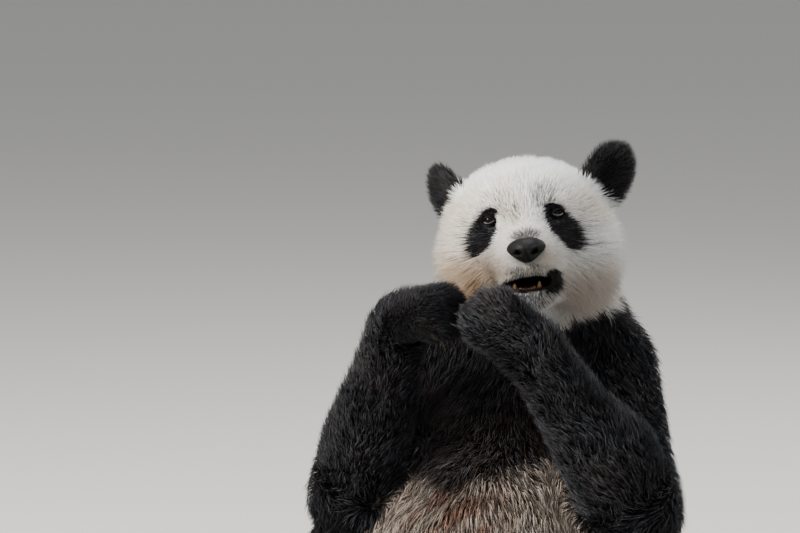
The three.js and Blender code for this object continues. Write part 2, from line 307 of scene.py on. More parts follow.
def add(tree, kind, settings=None, links=None):
    """Adds a node, sets its fields and sockets, and links other nodes' sockets into it."""
    node = tree.nodes.new(kind)
    for key, value in (settings or {}).items():
        if key == "stops":
            for i, (place, colour) in enumerate(value):
                stop = node.color_ramp.elements[i] if i < 2 else node.color_ramp.elements.new(place)
                stop.position, stop.color = place, linear(colour)
        elif isinstance(key, str) and hasattr(node, key):
            setattr(node, key, value)
        else:
            node.inputs[key].default_value = value
    for key, source in (links or {}).items():
        tree.links.new(source, node.inputs[key])
    return node


def material(name, shader):
    """A new material with a Principled shader that has these settings, and its node tree."""
    made = bpy.data.materials.new(name)
    made.use_nodes = True
    tree = made.node_tree
    tree.nodes.clear()
    surface = add(tree, "ShaderNodeBsdfPrincipled", shader)
    add(tree, "ShaderNodeOutputMaterial", links={"Surface": surface.outputs[0]})
    return made, tree, surface


def coat_material():
    """Guard hair: keratin, flecked every 6 mm, and smooth enough to glint along its length where it is black."""
    made, tree, surface = material("guard_hair", {"IOR": 1.5, "Specular IOR Level": 0.22})
    tint = add(tree, "ShaderNodeAttribute", {"attribute_name": "coat_colour"})
    spot = add(tree, "ShaderNodeTexCoord")
    fleck = add(tree, "ShaderNodeTexNoise", {"Scale": 160.0, "Detail": 2.0}, {"Vector": spot.outputs["Object"]})
    level = add(tree, "ShaderNodeMapRange", {"To Min": 0.8, "To Max": 1.2}, {"Value": fleck.outputs["Fac"]})
    shade = add(tree, "ShaderNodeVectorMath", {"operation": "SCALE"},
                {0: tint.outputs["Color"], "Scale": level.outputs[0]})
    tree.links.new(shade.outputs[0], surface.inputs["Base Color"])
    grey = add(tree, "ShaderNodeSeparateColor", links={"Color": tint.outputs["Color"]})
    rough = add(tree, "ShaderNodeMapRange", {"From Max": 0.4, "To Min": 0.5, "To Max": 0.7},
                {"Value": grey.outputs["Green"]})
    tree.links.new(rough.outputs[0], surface.inputs["Roughness"])
    return made


def skin_material():
    """The hide and underfur between the tufts: matte, the coat's own colour, in soft grains of 2.4 mm."""
    made, tree, surface = material("underfur", {"Roughness": 0.85, "IOR": 1.45, "Specular IOR Level": 0.15})
    tint = add(tree, "ShaderNodeAttribute", {"attribute_name": "coat_colour"})
    spot = add(tree, "ShaderNodeTexCoord")
    grain = add(tree, "ShaderNodeTexNoise", {"Scale": 420.0, "Detail": 3.0}, {"Vector": spot.outputs["Object"]})
    level = add(tree, "ShaderNodeMapRange", {"To Min": 0.72, "To Max": 1.0}, {"Value": grain.outputs["Fac"]})
    shade = add(tree, "ShaderNodeVectorMath", {"operation": "SCALE"},
                {0: tint.outputs["Color"], "Scale": level.outputs[0]})
    tree.links.new(shade.outputs[0], surface.inputs["Base Color"])
    bump = add(tree, "ShaderNodeBump", {"Strength": 0.6, "Distance": 0.002}, {"Height": grain.outputs["Fac"]})
    tree.links.new(bump.outputs[0], surface.inputs["Normal"])
    return made


# ---------------------------------------------------------------- the skin
# Each node's coat in millimetres: depth from outline to skin, hair length, tuft width, and gap between tufts.

COATS = {
    "head": (15, 24, 1.3, 1.85),
    "jaw": (6, 12, 1.2, 1.8),
    "ear": (8, 19, 1.3, 1.9),
    "neck": (27, 40, 2.0, 2.8),
    "chest": (26, 46, 2.0, 2.8),
    "abdomen": (26, 46, 2.1, 3.0),
    "tail": (20, 40, 2.4, 3.3),
    "upper_arm": (22, 42, 1.9, 2.7),
    "forearm": (18, 36, 1.7, 2.5),
    "forepaw": (9, 20, 1.4, 2.1),
    "thigh": (24, 44, 2.4, 3.4),
    "shank": (20, 38, 2.2, 3.3),
    "hindfoot": (9, 20, 1.7, 2.7),
}


def kind_of(node):
    """The key of COATS that a node's name starts with."""
    return next(kind for kind in sorted(COATS, key=len, reverse=True) if node.startswith(kind))


def side_of(node):
    """A node's side. The middle nodes count as left."""
    return "right" if node.endswith("right") else "left"


def cad_soup(names):
    """Vertices, triangles and owner of each triangle of several CAD nodes, as arrays."""
    corners, triangles, owner, base = [], [], [], 0
    for i, name in enumerate(names):
        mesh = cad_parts[name].data
        mesh.calc_loop_triangles()
        corners.append(read(mesh.vertices, "co", 3))
        triangles.append(read(mesh.loop_triangles, "vertices", 3, np.int32) + base)
        owner.append(np.full(len(triangles[-1]), i))
        base += len(corners[-1])
    return np.concatenate(corners), np.concatenate(triangles), np.concatenate(owner)


# The face is remeshed at twice its size, out to this many metres from this point of the head.
FACE_MIDDLE, FACE_REACH = (0, -95, -5), 0.125
OVERLAP = 0.0008  # metres: how far the nodes' copies are swollen, so that they merge


def magnified(points):
    """Points with the face drawn out to twice its size, and the rest moved out of its way."""
    ray = points - np.array(head_to_world(FACE_MIDDLE))
    far = np.linalg.norm(ray, axis=1, keepdims=True)
    return points + ray * np.where(far < FACE_REACH, 1, FACE_REACH / np.maximum(far, 1e-9))


def restored(points):
    """Points put back to where they were before they were magnified."""
    ray = points - np.array(head_to_world(FACE_MIDDLE))
    far = np.linalg.norm(ray, axis=1, keepdims=True)
    return points - ray * np.where(far < 2 * FACE_REACH, 0.5, FACE_REACH / np.maximum(far, 1e-9))


def joined_flesh(names, swell):
    """One mesh of merged copies of the nodes, each swollen a little so that they overlap."""
    made = bmesh.new()
    for name in names:
        part = bmesh.new()
        part.from_mesh(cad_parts[name].data)
        bmesh.ops.remove_doubles(part, verts=part.verts, dist=MERGE)
        part.normal_update()
        for vertex in part.verts:
            vertex.co += vertex.normal * swell
        bmesh.ops.subdivide_edges(part, edges=part.edges, cuts=2, use_grid_fill=True)
        copy = bpy.data.meshes.new("copy")
        part.to_mesh(copy)
        part.free()
        made.from_mesh(copy)
        bpy.data.meshes.remove(copy)
    mesh = bpy.data.meshes.new("skin")
    made.to_mesh(mesh)
    made.free()
    return mesh


LIE_START = (0, -150, 6)  # the point of the muzzle from which the face's hair runs back, in the head's frame


def lie_directions(points, kinds, sides):
    """The way the hair lies at each point, before it is laid onto the surface."""
    lie = np.tile(np.array([0.0, 0.0, -1.0]), (len(points), 1))
    in_skull = in_head(points)
    away = unit(in_skull - np.array(LIE_START)) + np.array([0, 0.25, 0])
    away[:, 2] -= 0.7 * smooth_step(10, -90, in_skull[:, 2])
    head = np.isin(kinds, SKULL)
    lie[head] = head_ways(away)[head]
    for side in SIDES:
        mine = sides == side
        for kind, start, end in (
            ("upper_arm", SHOULDER, ELBOW), ("forearm", ELBOW, WRIST), ("thigh", HIP, KNEE), ("shank", KNEE, ANKLE),
            ("forepaw", WRIST, FINGERTIPS), ("hindfoot", ANKLE, TOES),
        ):
            lie[mine & (kinds == kind)] = metres(end[side]) - metres(start[side])
        base = np.array(EAR[side]) * (0.72, 1, 0.6)
        ear = mine & (kinds == "ear")
        lie[ear] = head_ways(unit(in_skull - base))[ear]
    lie[kinds == "tail"] = metres(TAIL_TIP) - metres(TAIL_ROOT)
    trunk = np.isin(kinds, TRUNK)
    lie[trunk, 1] += 0.12 * np.sign(points[trunk, 1] - 0.02)
    return unit(lie)


def oval(points, centre, radii, turn=0.0):
    """How far out x and z of head points are in a turned ellipse: under 1 is inside."""
    c, s = math.cos(math.radians(turn)), math.sin(math.radians(turn))
    dx, dz = points[:, 0] - centre[0], points[:, 2] - centre[1]
    return np.hypot((dx * c + dz * s) / radii[0], (-dx * s + dz * c) / radii[1])


# Seen from the front, in the head's frame: middle, radii and turn of the eye patches and the mouth's dark corner.
PATCHES = {"left": ((60, 20), (46, 20), -58), "right": ((66, 26), (45, 20.5), -61)}
# The mouth's dark corner, on the panda's left, is partly dark lip and hair and partly painted shade where the real
# opening is deeper.
MOUTH_CORNER = ((38, -70), (17, 21), -20)
STRAYS = (  # where dark hairs grow among the white ones: middle, radii and how many
    ((0, 10), (26, 10), 0.92),
    ((0, -94), (38, 20), 0.6),
    ((0, -46), (34, 14), 0.5),
    # between the eyes: partly grey hair, partly painted shade in the brow's furrow
    ((-12, 40), (10, 18), 0.26),
    ((36, 68), (24, 24), 0.55),
    ((-30, 66), (16, 14), 0.16),
)
# The saddle's lower and upper edge in metres, each at the breast and over the withers.
SADDLE_LOW, SADDLE_HIGH = (0.436, 0.545), (0.698, 0.680)
LEAST_LIMB_DARK = 0.78  # keeps white hair off the limbs, however ragged the borders are


def markings(points, kinds, web):
    """Light colour, dark colour, share of dark and share of stray dark hairs at each skin vertex."""
    tones = bpy.context.scene.panda_colours
    white, cream, black, brown, belly, rust, tan = (
        np.array(getattr(tones, key)) for key in ("white", "cream", "black", "brown", "belly", "rust", "tan"))
    skull = in_head(points)
    dark = web.spread(np.isin(kinds, LIMBS + ("ear", "chest")).astype(float), 10)
    ragged = wander(points, 0.03, 3) * 0.10 + wander(points, 0.09, 4) * 0.14
    x, y, z = points.T
    # The saddle: a black band over the withers that widens down to the forelegs and across the breast.
    trunk = np.isin(kinds, TRUNK)
    behind = smooth_step(0.05, 0.16, y)
    low_edge = mix(*SADDLE_LOW, behind) - 0.06 * smooth_step(0.10, 0.22, np.abs(x)) * behind
    low_edge = low_edge + 0.03 * smooth_step(-0.04, 0.12, x) * (1 - behind) + 0.012 * wander(points, 0.12, 9)
    high_edge = mix(*SADDLE_HIGH, behind) + 0.012 * wander(points, 0.10, 17) + 0.03 * smooth_step(0.0, -0.07, x)
    saddle = smooth_step(-0.014, 0.014, z - low_edge) * smooth_step(-0.014, 0.014, high_edge - z)
    dark = np.where(trunk, np.maximum(saddle, dark * smooth_step(0.35, 0.8, dark) * (kinds != "chest")), dark)
    # Eye patches: drops that lean outward and down, wider at the bottom.
    face = (kinds == "head") & (skull[:, 1] < -20)
    for side in SIDES:
        middle, radii, turn = PATCHES[side]
        sign = 1 if side == "left" else -1
        patch = oval(skull * (sign, 1, 1), middle, radii, turn)
        patch = patch * mix(1.0, 1.35, smooth_step(10, 70, skull[:, 2]))
        patch = smooth_step(1.1, 0.94, patch) * (skull[:, 0] * sign > 0)
        dark = np.where(face, np.maximum(dark, patch), dark)
    dark = np.clip(dark, 0, 1)
    on_head = np.isin(kinds, SKULL)
    before = on_head & (skull[:, 1] < -40)
    dark = np.where(np.isin(kinds, LIMBS), np.maximum(dark, LEAST_LIMB_DARK), dark)
    # Dark hair at the mouth's corner: partly dark lip and hair, partly painted shade of the deeper opening.
    corner = smooth_step(1.45, 0.6, oval(skull, *MOUTH_CORNER))
    dark = np.where(before, np.maximum(dark, corner), dark)
    # White hair: creamier in places, tan on the right cheek, painted shade with a little dust under the left one, dusty
    # on the belly.
    light = mix(white, cream, np.clip(0.35 + 0.5 * wander(points, 0.16, 5) + 0.4 * trunk, 0, 1))
    stain = smooth_step(-15, -70, skull[:, 0]) * smooth_step(25, -50, skull[:, 2]) * (skull[:, 1] < 70)
    # Painted shade, with a little dust: the lower cheek on the panda's left is greyed toward the belly's colour.
    shade_and_dust = smooth_step(10, 70, skull[:, 0]) * smooth_step(-35, -90, skull[:, 2]) * on_head
    light = mix(light, belly, 0.78 * shade_and_dust)
    light = mix(light, tan, 0.8 * stain * on_head * (0.85 + 0.3 * wander(points, 0.05, 15)))
    front = smooth_step(0.17, 0.06, y + 0.05 * wander(points, 0.05, 16)) * smooth_step(0.60, 0.54, z) * ~on_head
    dusty = np.clip(front * (0.9 + 0.25 * wander(points, 0.07, 6)), 0, 1)
    light = mix(light, belly, dusty)
    low = front * smooth_step(0.13, 0.03, np.hypot(x + 0.02, (z - 0.36) * 0.8))
    low = low * smooth_step(-0.4, 0.5, wander(points, 0.05, 7))
    light = mix(light, rust, 0.8 * low)
    # Brown cast: sun-bleached black hair at random, and more low on the trunk, partly the breast's own dusty brown and
    # partly painted light for the breast that the arms shade.
    bleached = 0.1 + 0.3 * wander(points, 0.12, 8) + 0.8 * trunk * smooth_step(0.66, 0.46, z)
    deep = mix(black, brown, np.clip(bleached, 0, 1))
    stray = front * mix(0.16, 0.9, smooth_step(-0.085, -0.005, z - low_edge))
    for middle, radii, strength in STRAYS:
        stray = np.maximum(stray, strength * smooth_step(1.15, 0.6, oval(skull, middle, radii)) * before)
    return light, deep, np.clip(dark + ragged * (dark > 0.02) * (dark < 0.98), 0, 1), stray


# ---------------------------------------------------------------- eyes: their frames and openings

EYEBALL = 11.0  # radius, millimetres
LID_OPENING = (8.2, 5.0, 4.0)  # half width, height above and height below, millimetres
SOCKET = (25, 20)  # how far the lids' skin reaches sideways and upward, millimetres


def eye_axes(side):
    """The eye's middle and its own axes as rows: outward, backward and up, in the head's frame, millimetres."""
    sign = 1 if side == "left" else -1
    back = unit(np.array([-0.36 * sign, 0.93, -0.06]))
    up = np.array([0.10 * sign, 0.0, 1.0])
    up = unit(up - back * up.dot(back))
    out = np.cross(back, up) * sign
    return np.array(EYE) * (sign, 1, 1) + (0, 2, 0), np.stack([unit(out), back, up])


def lid_outline(angle):
    """The almond between the lids as sideways and upward distances, at angles round it."""
    wide, above, below = LID_OPENING
    c, s = np.cos(angle), np.sin(angle)
    height = np.where(s > 0, above, below) * (1 - 0.22 * c**2)
    return wide * c, s * height + 0.09 * wide * c


def lids_opened(q):
    """How far out of the lids' opening points in the eye's own axes are: under 1 is inside."""
    x, z = lid_outline(np.arctan2(q[:, 2] / 5, q[:, 0] / 10))
    return np.hypot(q[:, 0], q[:, 2]) / np.hypot(x, z)


def set_lids(skull):
    """Moves skin vertices near the eyes onto the lids, and behind the eyeball where the lids are open."""
    bare = np.zeros(len(skull))
    for side in SIDES:
        middle, axes = eye_axes(side)
        q = (skull - middle) @ axes.T
        around = np.hypot(q[:, 0] / SOCKET[0], q[:, 2] / SOCKET[1])
        mine = (around < 1.3) & (q[:, 1] < 14) & (q[:, 1] > -32)
        flat = np.hypot(q[:, 0], q[:, 2])
        dome = EYEBALL + 1.5
        on_dome = -np.sqrt(np.maximum(dome**2 - np.minimum(flat, 0.96 * dome) ** 2, 0))
        opened = lids_opened(q)
        moved = mix(on_dome, q[:, 1], smooth_step(0.42, 1.2, around))
        moved = np.where(opened < 1.25, -0.5 * EYEBALL, moved)
        q[mine, 1] = moved[mine]
        skull = np.where(mine[:, None], q @ axes + middle, skull)
        bare = np.where(mine, np.maximum(bare, smooth_step(1.52, 1.32, opened)), bare)
    return skull, bare


# ---------------------------------------------------------------- paws: where the toes, claws and pads are

TOE_ROW = {"left": (0.35, 0.25, 0.9), "right": (0.25, 0.92, 0.3)}  # the way across the forepaw's knuckles
FORE_CLAW = {"length": 19, "radius": 4.4, "droop": 10}
HIND_CLAW = {"length": 26, "radius": 5.0, "droop": 8}


class Paw:
    """One paw's axes in millimetres: forward along the toes, across their row, and down out of the palm."""

    def __init__(self, name, side):
        self.name, self.side = f"{name}_{side}", side
        self.hind = name == "hindfoot"
        # The palm's middle, the knuckles, the toes' tips, the paw's breadth and the toes' radius.
        if self.hind:
            ankle, tip = np.array(ANKLE[side], float), np.array(TOES[side], float)
            palm, knuckle = ankle * (1, 1, 0) + (0, -26, 46), ankle * 0.34 + tip * 0.66
            self.width, self.toe, self.claw = 92, 21, HIND_CLAW
        else:
            palm, knuckle, tip = (np.array(place[side], float) for place in (WRIST, KNUCKLES, FINGERTIPS))
            self.width, self.toe, self.claw = 70, 19, FORE_CLAW
        reach, away = tip - knuckle, unit(knuckle - palm)
        row = np.array((1, 0, 0) if self.hind else TOE_ROW[side], float)
        self.broad = unit(row - (0 if self.hind else 1) * away * row.dot(away))
        self.forward = unit(reach)
        self.down = unit(np.cross(self.forward, self.broad))
        self.down *= np.sign(self.down[1]) * (-1 if self.hind else 1)
        self.along = unit(np.cross(self.down, self.broad))
        self.palm, self.knuckle, self.away = palm, knuckle, away
        shares = np.linspace(-1, 1, 5)
        self.toes = [knuckle + self.broad * t * self.width / 2 + reach * (1 - 0.22 * t * t) for t in shares]

    def pads(self):
        """Each pad: its middle, half sizes across and along, and how far it stands out."""
        size = 1.0 if self.hind else 0.88
        for toe in self.toes:
            yield toe - self.forward * 5 + self.down * self.toe, (12.5 * size, 15 * size), 5.0
        yield self.knuckle - self.away * 10 + self.down * 44, (47 * size, 21 * size), 6.5
        if not self.hind:
            yield self.knuckle * 0.35 + self.palm * 0.65 + self.down * 44, (14, 11), 3.0


PAWS = [Paw(name, side) for name in PAW_KINDS for side in SIDES]
PAD_REACH = 75  # millimetres: no pad is bare farther than this from its middle


def pad_shares(points, outward):
    """How much of a bare pad is at each metre point: 1 on pads, 0 in the coat."""
    share = np.zeros(len(points))
    for paw in PAWS:
        for middle, (wide, long), _ in paw.pads():
            q = points / MM - middle
            out = np.hypot(q @ paw.broad / wide, q @ paw.along / long)
            facing = smooth_step(0.1, 0.35, outward @ paw.down) * (np.linalg.norm(q, axis=1) < PAD_REACH)
            share = np.maximum(share, smooth_step(1.1, 0.9, out) * facing)
    return share


# The coat on the muzzle, on the ruff of the cheeks and throat, and at the eyes, in millimetres as in COATS.
FACE_COAT = {"depth": (4, 27, 6), "length": (9, 42, 8), "width": (0.85, 1.6, 1.0), "gap": (1.35, 2.1, 1.5)}
LIP_DEPTH = 0.5  # millimetres between the outline and the skin at the mouth's edge
SKIN_FLOOR = 0.0015  # metres: the skin stays above the floor by this
# MOUTH_RED is the mouth's lining, its red darkened nearly to black as painted shade inside the mouth.
LIP_BLACK, MOUTH_RED, SOLE_BLACK = "#0F0C0C", "#1C0B0C", "#151110"


class PANDA_OT_skin(bpy.types.Operator):
    """Join the flesh into one skin that lies under the coat, and mark on it how the coat grows"""

    bl_idname = "panda.skin"
    bl_label = "Skin"

    def execute(self, context):
        mesh = joined_flesh(FLESH, OVERLAP)
        set_places(mesh, magnified(places(mesh)))
        skin = new_object("skin", mesh, skin_material(), FLESH)
        self.remesh(skin, context)
        outline = restored(places(mesh))
        kinds, sides = self.owners(outline)
        web, skull, on_head = Web(mesh), in_head(outline), np.isin(kinds, SKULL)
        order = list(COATS)
        region = np.array([order.index(kind) for kind in kinds])
        values = self.coat_values(skull, region, on_head, web)
        gape, beyond = self.mouth(skull)
        values[:, 0] = mix(values[:, 0], LIP_DEPTH * MM, smooth_step(7, 1.5, beyond) * on_head)
        softness = np.select([kinds == "ear", np.isin(kinds, PAW_KINDS), beyond < 6, on_head],
                             [0.3, 0.3, 0.25, 0.8], 1.0)
        inner, outward, around_eye = self.lay_under(mesh, outline, values[:, :1], web.spread(softness, 4), on_head, web)

        # How far the tufts rise, which way they lie, where none grow, and the colours.
        height = dot(outline - inner, outward)
        height = web.spread(np.clip(height, 0.3 * values[:, 0], 1.7 * values[:, 0]), 3)
        lie = web.spread(lie_directions(outline, kinds, sides), 10)
        lie = lie - outward * dot(lie, outward)[:, None]
        lie = unit(web.spread(unit(lie), 6))
        light, deep, dark, stray = markings(outline, kinds, web)
        lip, margin = smooth_step(2.4, 1.2, beyond) * on_head, smooth_step(5.0, 3.0, beyond) * on_head
        sole, lid = pad_shares(inner, outward), around_eye * on_head
        bare = np.maximum.reduce([lip, lid, sole])
        shade = mix(light, deep, smooth_step(0.35, 0.65, dark))
        shade = mix(shade, deep, 0.8 * stray)
        shade = mix(shade, rgb(LIP_BLACK), np.maximum(margin, lid))
        # The mouth's lining, darkened as painted shade inside the mouth.
        shade = mix(shade, rgb(MOUTH_RED), smooth_step(0.98, 0.86, gape) * on_head)
        shade = mix(shade, rgb(SOLE_BLACK), sole)
        full = np.ones((len(outline), 1))
        store(mesh, "coat_colour", "FLOAT_COLOR", np.hstack([shade, full]))
        for key, value in (("light", light), ("deep", deep), ("lie", lie), ("out", outward)):
            store(mesh, "coat_" + key, "FLOAT_VECTOR", value)
        for column, key in enumerate(FACE_COAT):
            store(mesh, "coat_" + key, "FLOAT", values[:, column])
        for key, value in (("dark", dark), ("stray", stray), ("height", height), ("bare", bare), ("region", region)):
            store(mesh, "coat_" + key, "FLOAT", value)
        unwrap(skin)
        return {"FINISHED"}

    def remesh(self, skin, context):
        """Makes the overlapping copies one even, closed mesh."""
        remesh = skin.modifiers.new("remesh", "REMESH")
        remesh.mode, remesh.voxel_size = "VOXEL", context.scene.panda_coat.voxel
        depsgraph = context.evaluated_depsgraph_get()
        made = bmesh.new()
        made.from_mesh(skin.evaluated_get(depsgraph).to_mesh())
        skin.modifiers.clear()
        keep_largest(made)
        made.to_mesh(skin.data)
        made.free()
        shade_smooth(skin.data)

    def owners(self, outline):
        """The kind and the side of the node that each vertex lies on."""
        corners, triangles, owner = cad_soup(FLESH)
        flesh = BVHTree.FromPolygons(corners.tolist(), triangles.tolist())
        own = owner[np.array([flesh.find_nearest(Vector(p))[2] for p in outline])]
        return np.array([kind_of(n) for n in FLESH])[own], np.array([side_of(n) for n in FLESH])[own]

    def coat_values(self, skull, region, on_head, web):
        """The coat's depth, length, width and gap at each vertex, in metres, as columns."""
        values = np.array(list(COATS.values()))[region] * MM
        muzzle = smooth_step(98, 48, np.linalg.norm((skull - NOSE) * (1, 0.8, 1), axis=1)) * on_head
        cheek = smooth_step(60, 120, np.abs(skull[:, 0]) + 0.35 * np.maximum(0, -skull[:, 2] - 30)) * on_head
        cheek = cheek * smooth_step(70, -10, skull[:, 2])
        throat = smooth_step(-95, -130, skull[:, 2]) * smooth_step(-130, -90, skull[:, 1]) * on_head
        ruff = np.maximum(cheek, throat)
        from_eye = np.min([np.linalg.norm(skull - eye_axes(side)[0] + (0, 9, 0), axis=1) for side in SIDES], axis=0)
        near_eye = smooth_step(50, 20, from_eye) * on_head
        for column, (at_muzzle, at_ruff, at_eye) in enumerate(FACE_COAT.values()):
            for there, share in ((at_ruff, ruff), (at_muzzle, muzzle), (at_eye, near_eye)):
                values[:, column] = mix(values[:, column], there * MM, share)
        return web.spread(values, 8)

    def mouth(self, skull):
        """Where each vertex is from the open mouth: its share of the gape's radii, and the millimetres out of it."""
        ray = (skull - GAPE) / GAPE_RADII
        gape = np.linalg.norm(ray, axis=1)
        slope = np.maximum(np.linalg.norm(ray / GAPE_RADII, axis=1), 1e-6)
        return gape, (gape - 1) * gape / slope

    def lay_under(self, mesh, outline, depth, softness, on_head, web):
        """Smooths the outline where it is soft and lays the skin under it by the coat's depth, with the lids set."""
        calm = web.spread(outline, 44, 0.5 * softness)
        set_places(mesh, calm)
        mesh.update()
        outward = unit(web.spread(read(mesh.vertices, "normal", 3), 3))
        inner = web.spread(calm - outward * depth, 3, 0.4 * softness)
        lidded, around_eye = set_lids(in_head(inner))
        inner = np.where(on_head[:, None], head_places(lidded), inner)
        inner[:, 2] = np.maximum(inner[:, 2], SKIN_FLOOR)
        set_places(mesh, inner)
        mesh.update()
        return inner, unit(web.spread(read(mesh.vertices, "normal", 3), 2)), around_eye


def keep_largest(made):
    """Leaves only the biggest connected shell."""
    made.verts.ensure_lookup_table()
    seen = np.zeros(len(made.verts), bool)
    shells = []
    for first in made.verts:
        if seen[first.index]:
            continue
        seen[first.index] = True
        stack, shell = [first], []
        while stack:
            vertex = stack.pop()
            shell.append(vertex)
            for edge in vertex.link_edges:
                other = edge.other_vert(vertex)
                if not seen[other.index]:
                    seen[other.index] = True
                    stack.append(other)
        shells.append(shell)
    shells.sort(key=len)
    for shell in shells[:-1]:
        bmesh.ops.delete(made, geom=shell, context="VERTS")
    made.verts.index_update()


def unwrap(piece):
    """Gives the piece a map named OFBake, cut into islands."""
    piece.data.uv_layers.new(name="OFBake")
    bpy.context.view_layer.objects.active = piece
    bpy.ops.object.select_all(action="DESELECT")
    piece.select_set(True)
    bpy.ops.object.mode_set(mode="EDIT")
    bpy.ops.mesh.select_all(action="SELECT")
    bpy.ops.uv.smart_project(angle_limit=math.radians(66), island_margin=0.002)
    bpy.ops.object.mode_set(mode="OBJECT")


# ---------------------------------------------------------------- the coat


# The two kinds of tuft: their polygons, each corner's place on the map, and how many triangles they make.
BENT = {  # a three-sided lock of two lengths: corners 0-2 root, 3-5 bend, 6 tip
    "polygons": [(2, 1, 0), (0, 1, 4, 3), (1, 2, 5, 4), (2, 0, 3, 5), (3, 4, 6), (4, 5, 6), (5, 3, 6)],
    "map": [(0.0, 0.0), (1.0, 0.0), (0.5, 0.1), (0.15, 0.55), (0.85, 0.55), (0.5, 0.6), (0.5, 1.0)],
    "triangles": 10,
}
STRAIGHT = {  # a three-sided spike: corners 0-2 root, 3 tip
    "polygons": [(2, 1, 0), (0, 1, 3), (1, 2, 3), (2, 0, 3)],
    "map": [(0.0, 0.0), (1.0, 0.0), (0.5, 0.1), (0.5, 1.0)],
    "triangles": 4,
}
PATCH = 0.003  # how much of the map one tuft takes
BARE_LIMIT = 0.3  # no tuft grows where the skin is barer than this
LEAST_HEIGHT = 0.004  # metres: no tuft grows on skin that is wholly lower than this, which the body rests on
LOCK_TUFTS = 12  # in one lock, on average
GLINT = "#44474F"


def tuft_mesh(name, shape, corners, colours, patches):
    """A mesh of many tufts: corners is (tufts, corners, 3), colours the same, patches each tuft's place on the map."""
    count, size = corners.shape[:2]
    loops = np.concatenate([np.array(p) for p in shape["polygons"]])
    lengths = np.array([len(p) for p in shape["polygons"]])
    mesh = bpy.data.meshes.new(name)
    mesh.vertices.add(count * size)
    set_places(mesh, corners)
    every = (loops[None] + np.arange(count)[:, None] * size).ravel()
    mesh.loops.add(len(every))
    mesh.loops.foreach_set("vertex_index", every.astype(np.int32))
    mesh.polygons.add(count * len(lengths))
    starts = np.concatenate([[0], np.cumsum(np.tile(lengths, count))[:-1]])
    mesh.polygons.foreach_set("loop_start", starts.astype(np.int32))
    shade_smooth(mesh)
    layer = mesh.uv_layers.new(name="OFBake")
    coordinates = patches[:, None] + (np.array(shape["map"])[loops] - 0.5) * PATCH
    layer.uv.foreach_set("vector", np.clip(coordinates, 0, 1).astype(np.float32).ravel())
    full = np.ones(colours.shape[:2] + (1,))
    store(mesh, "coat_colour", "FLOAT_COLOR", np.concatenate([colours, full], axis=2))
    mesh.update(calc_edges=True)
    return mesh


def grow(skin, draw, thickness):
    """Places tufts over the whole skin. Returns all about each one, the skin's points and the skin's fields."""
    mesh = skin.data
    mesh.calc_loop_triangles()
    triangles = read(mesh.loop_triangles, "vertices", 3, np.int32)
    loops = read(mesh.loop_triangles, "loops", 3, np.int32)
    points = places(mesh)
    fields = {key: stored(mesh, "coat_" + key, 1) for key in
              ("dark", "stray", "height", "depth", "length", "width", "gap", "bare", "region")}
    fields |= {key: stored(mesh, "coat_" + key, 3) for key in ("light", "deep", "lie", "out")}
    area = np.linalg.norm(np.cross(points[triangles[:, 1]] - points[triangles[:, 0]],
                                   points[triangles[:, 2]] - points[triangles[:, 0]]), axis=1) / 2
    wanted = area / (fields["gap"][triangles].mean(1) * thickness) ** 2
    wanted[fields["bare"][triangles].max(1) > BARE_LIMIT] = 0
    wanted[points[triangles, 2].max(1) < LEAST_HEIGHT] = 0
    edge = np.concatenate([[0], np.cumsum(wanted)])
    count = int(edge[-1])
    chosen = np.searchsorted(edge, (np.arange(count) + draw.random(count)) * edge[-1] / count, side="right") - 1
    chosen = np.clip(chosen, 0, len(triangles) - 1)
    a, b = draw.random(count), draw.random(count)
    over = a + b > 1
    a[over], b[over] = 1 - a[over], 1 - b[over]
    weights = np.stack([1 - a - b, a, b], axis=1)
    at = triangles[chosen]
    grown = {key: np.einsum("ij,ij...->i...", weights, value[at]) for key, value in fields.items() if key != "region"}
    grown["region"] = fields["region"][at[:, 0]].astype(int)
    grown["root"] = np.einsum("ij,ijk->ik", weights, points[at])
    layer = read(mesh.uv_layers["OFBake"].uv, "vector", 2)
    grown["patch"] = np.einsum("ij,ijk->ik", weights, layer[loops[chosen]])
    grown["out"], grown["lie"] = unit(grown["out"]), unit(grown["lie"])
    return grown, points, fields


def nearest(points, targets):
    """For each target, which of the points is nearest."""
    tree = KDTree(len(points))
    for i, point in enumerate(points):
        tree.insert(point, i)
    tree.balance()
    return np.array([tree.find(target)[1] for target in targets])


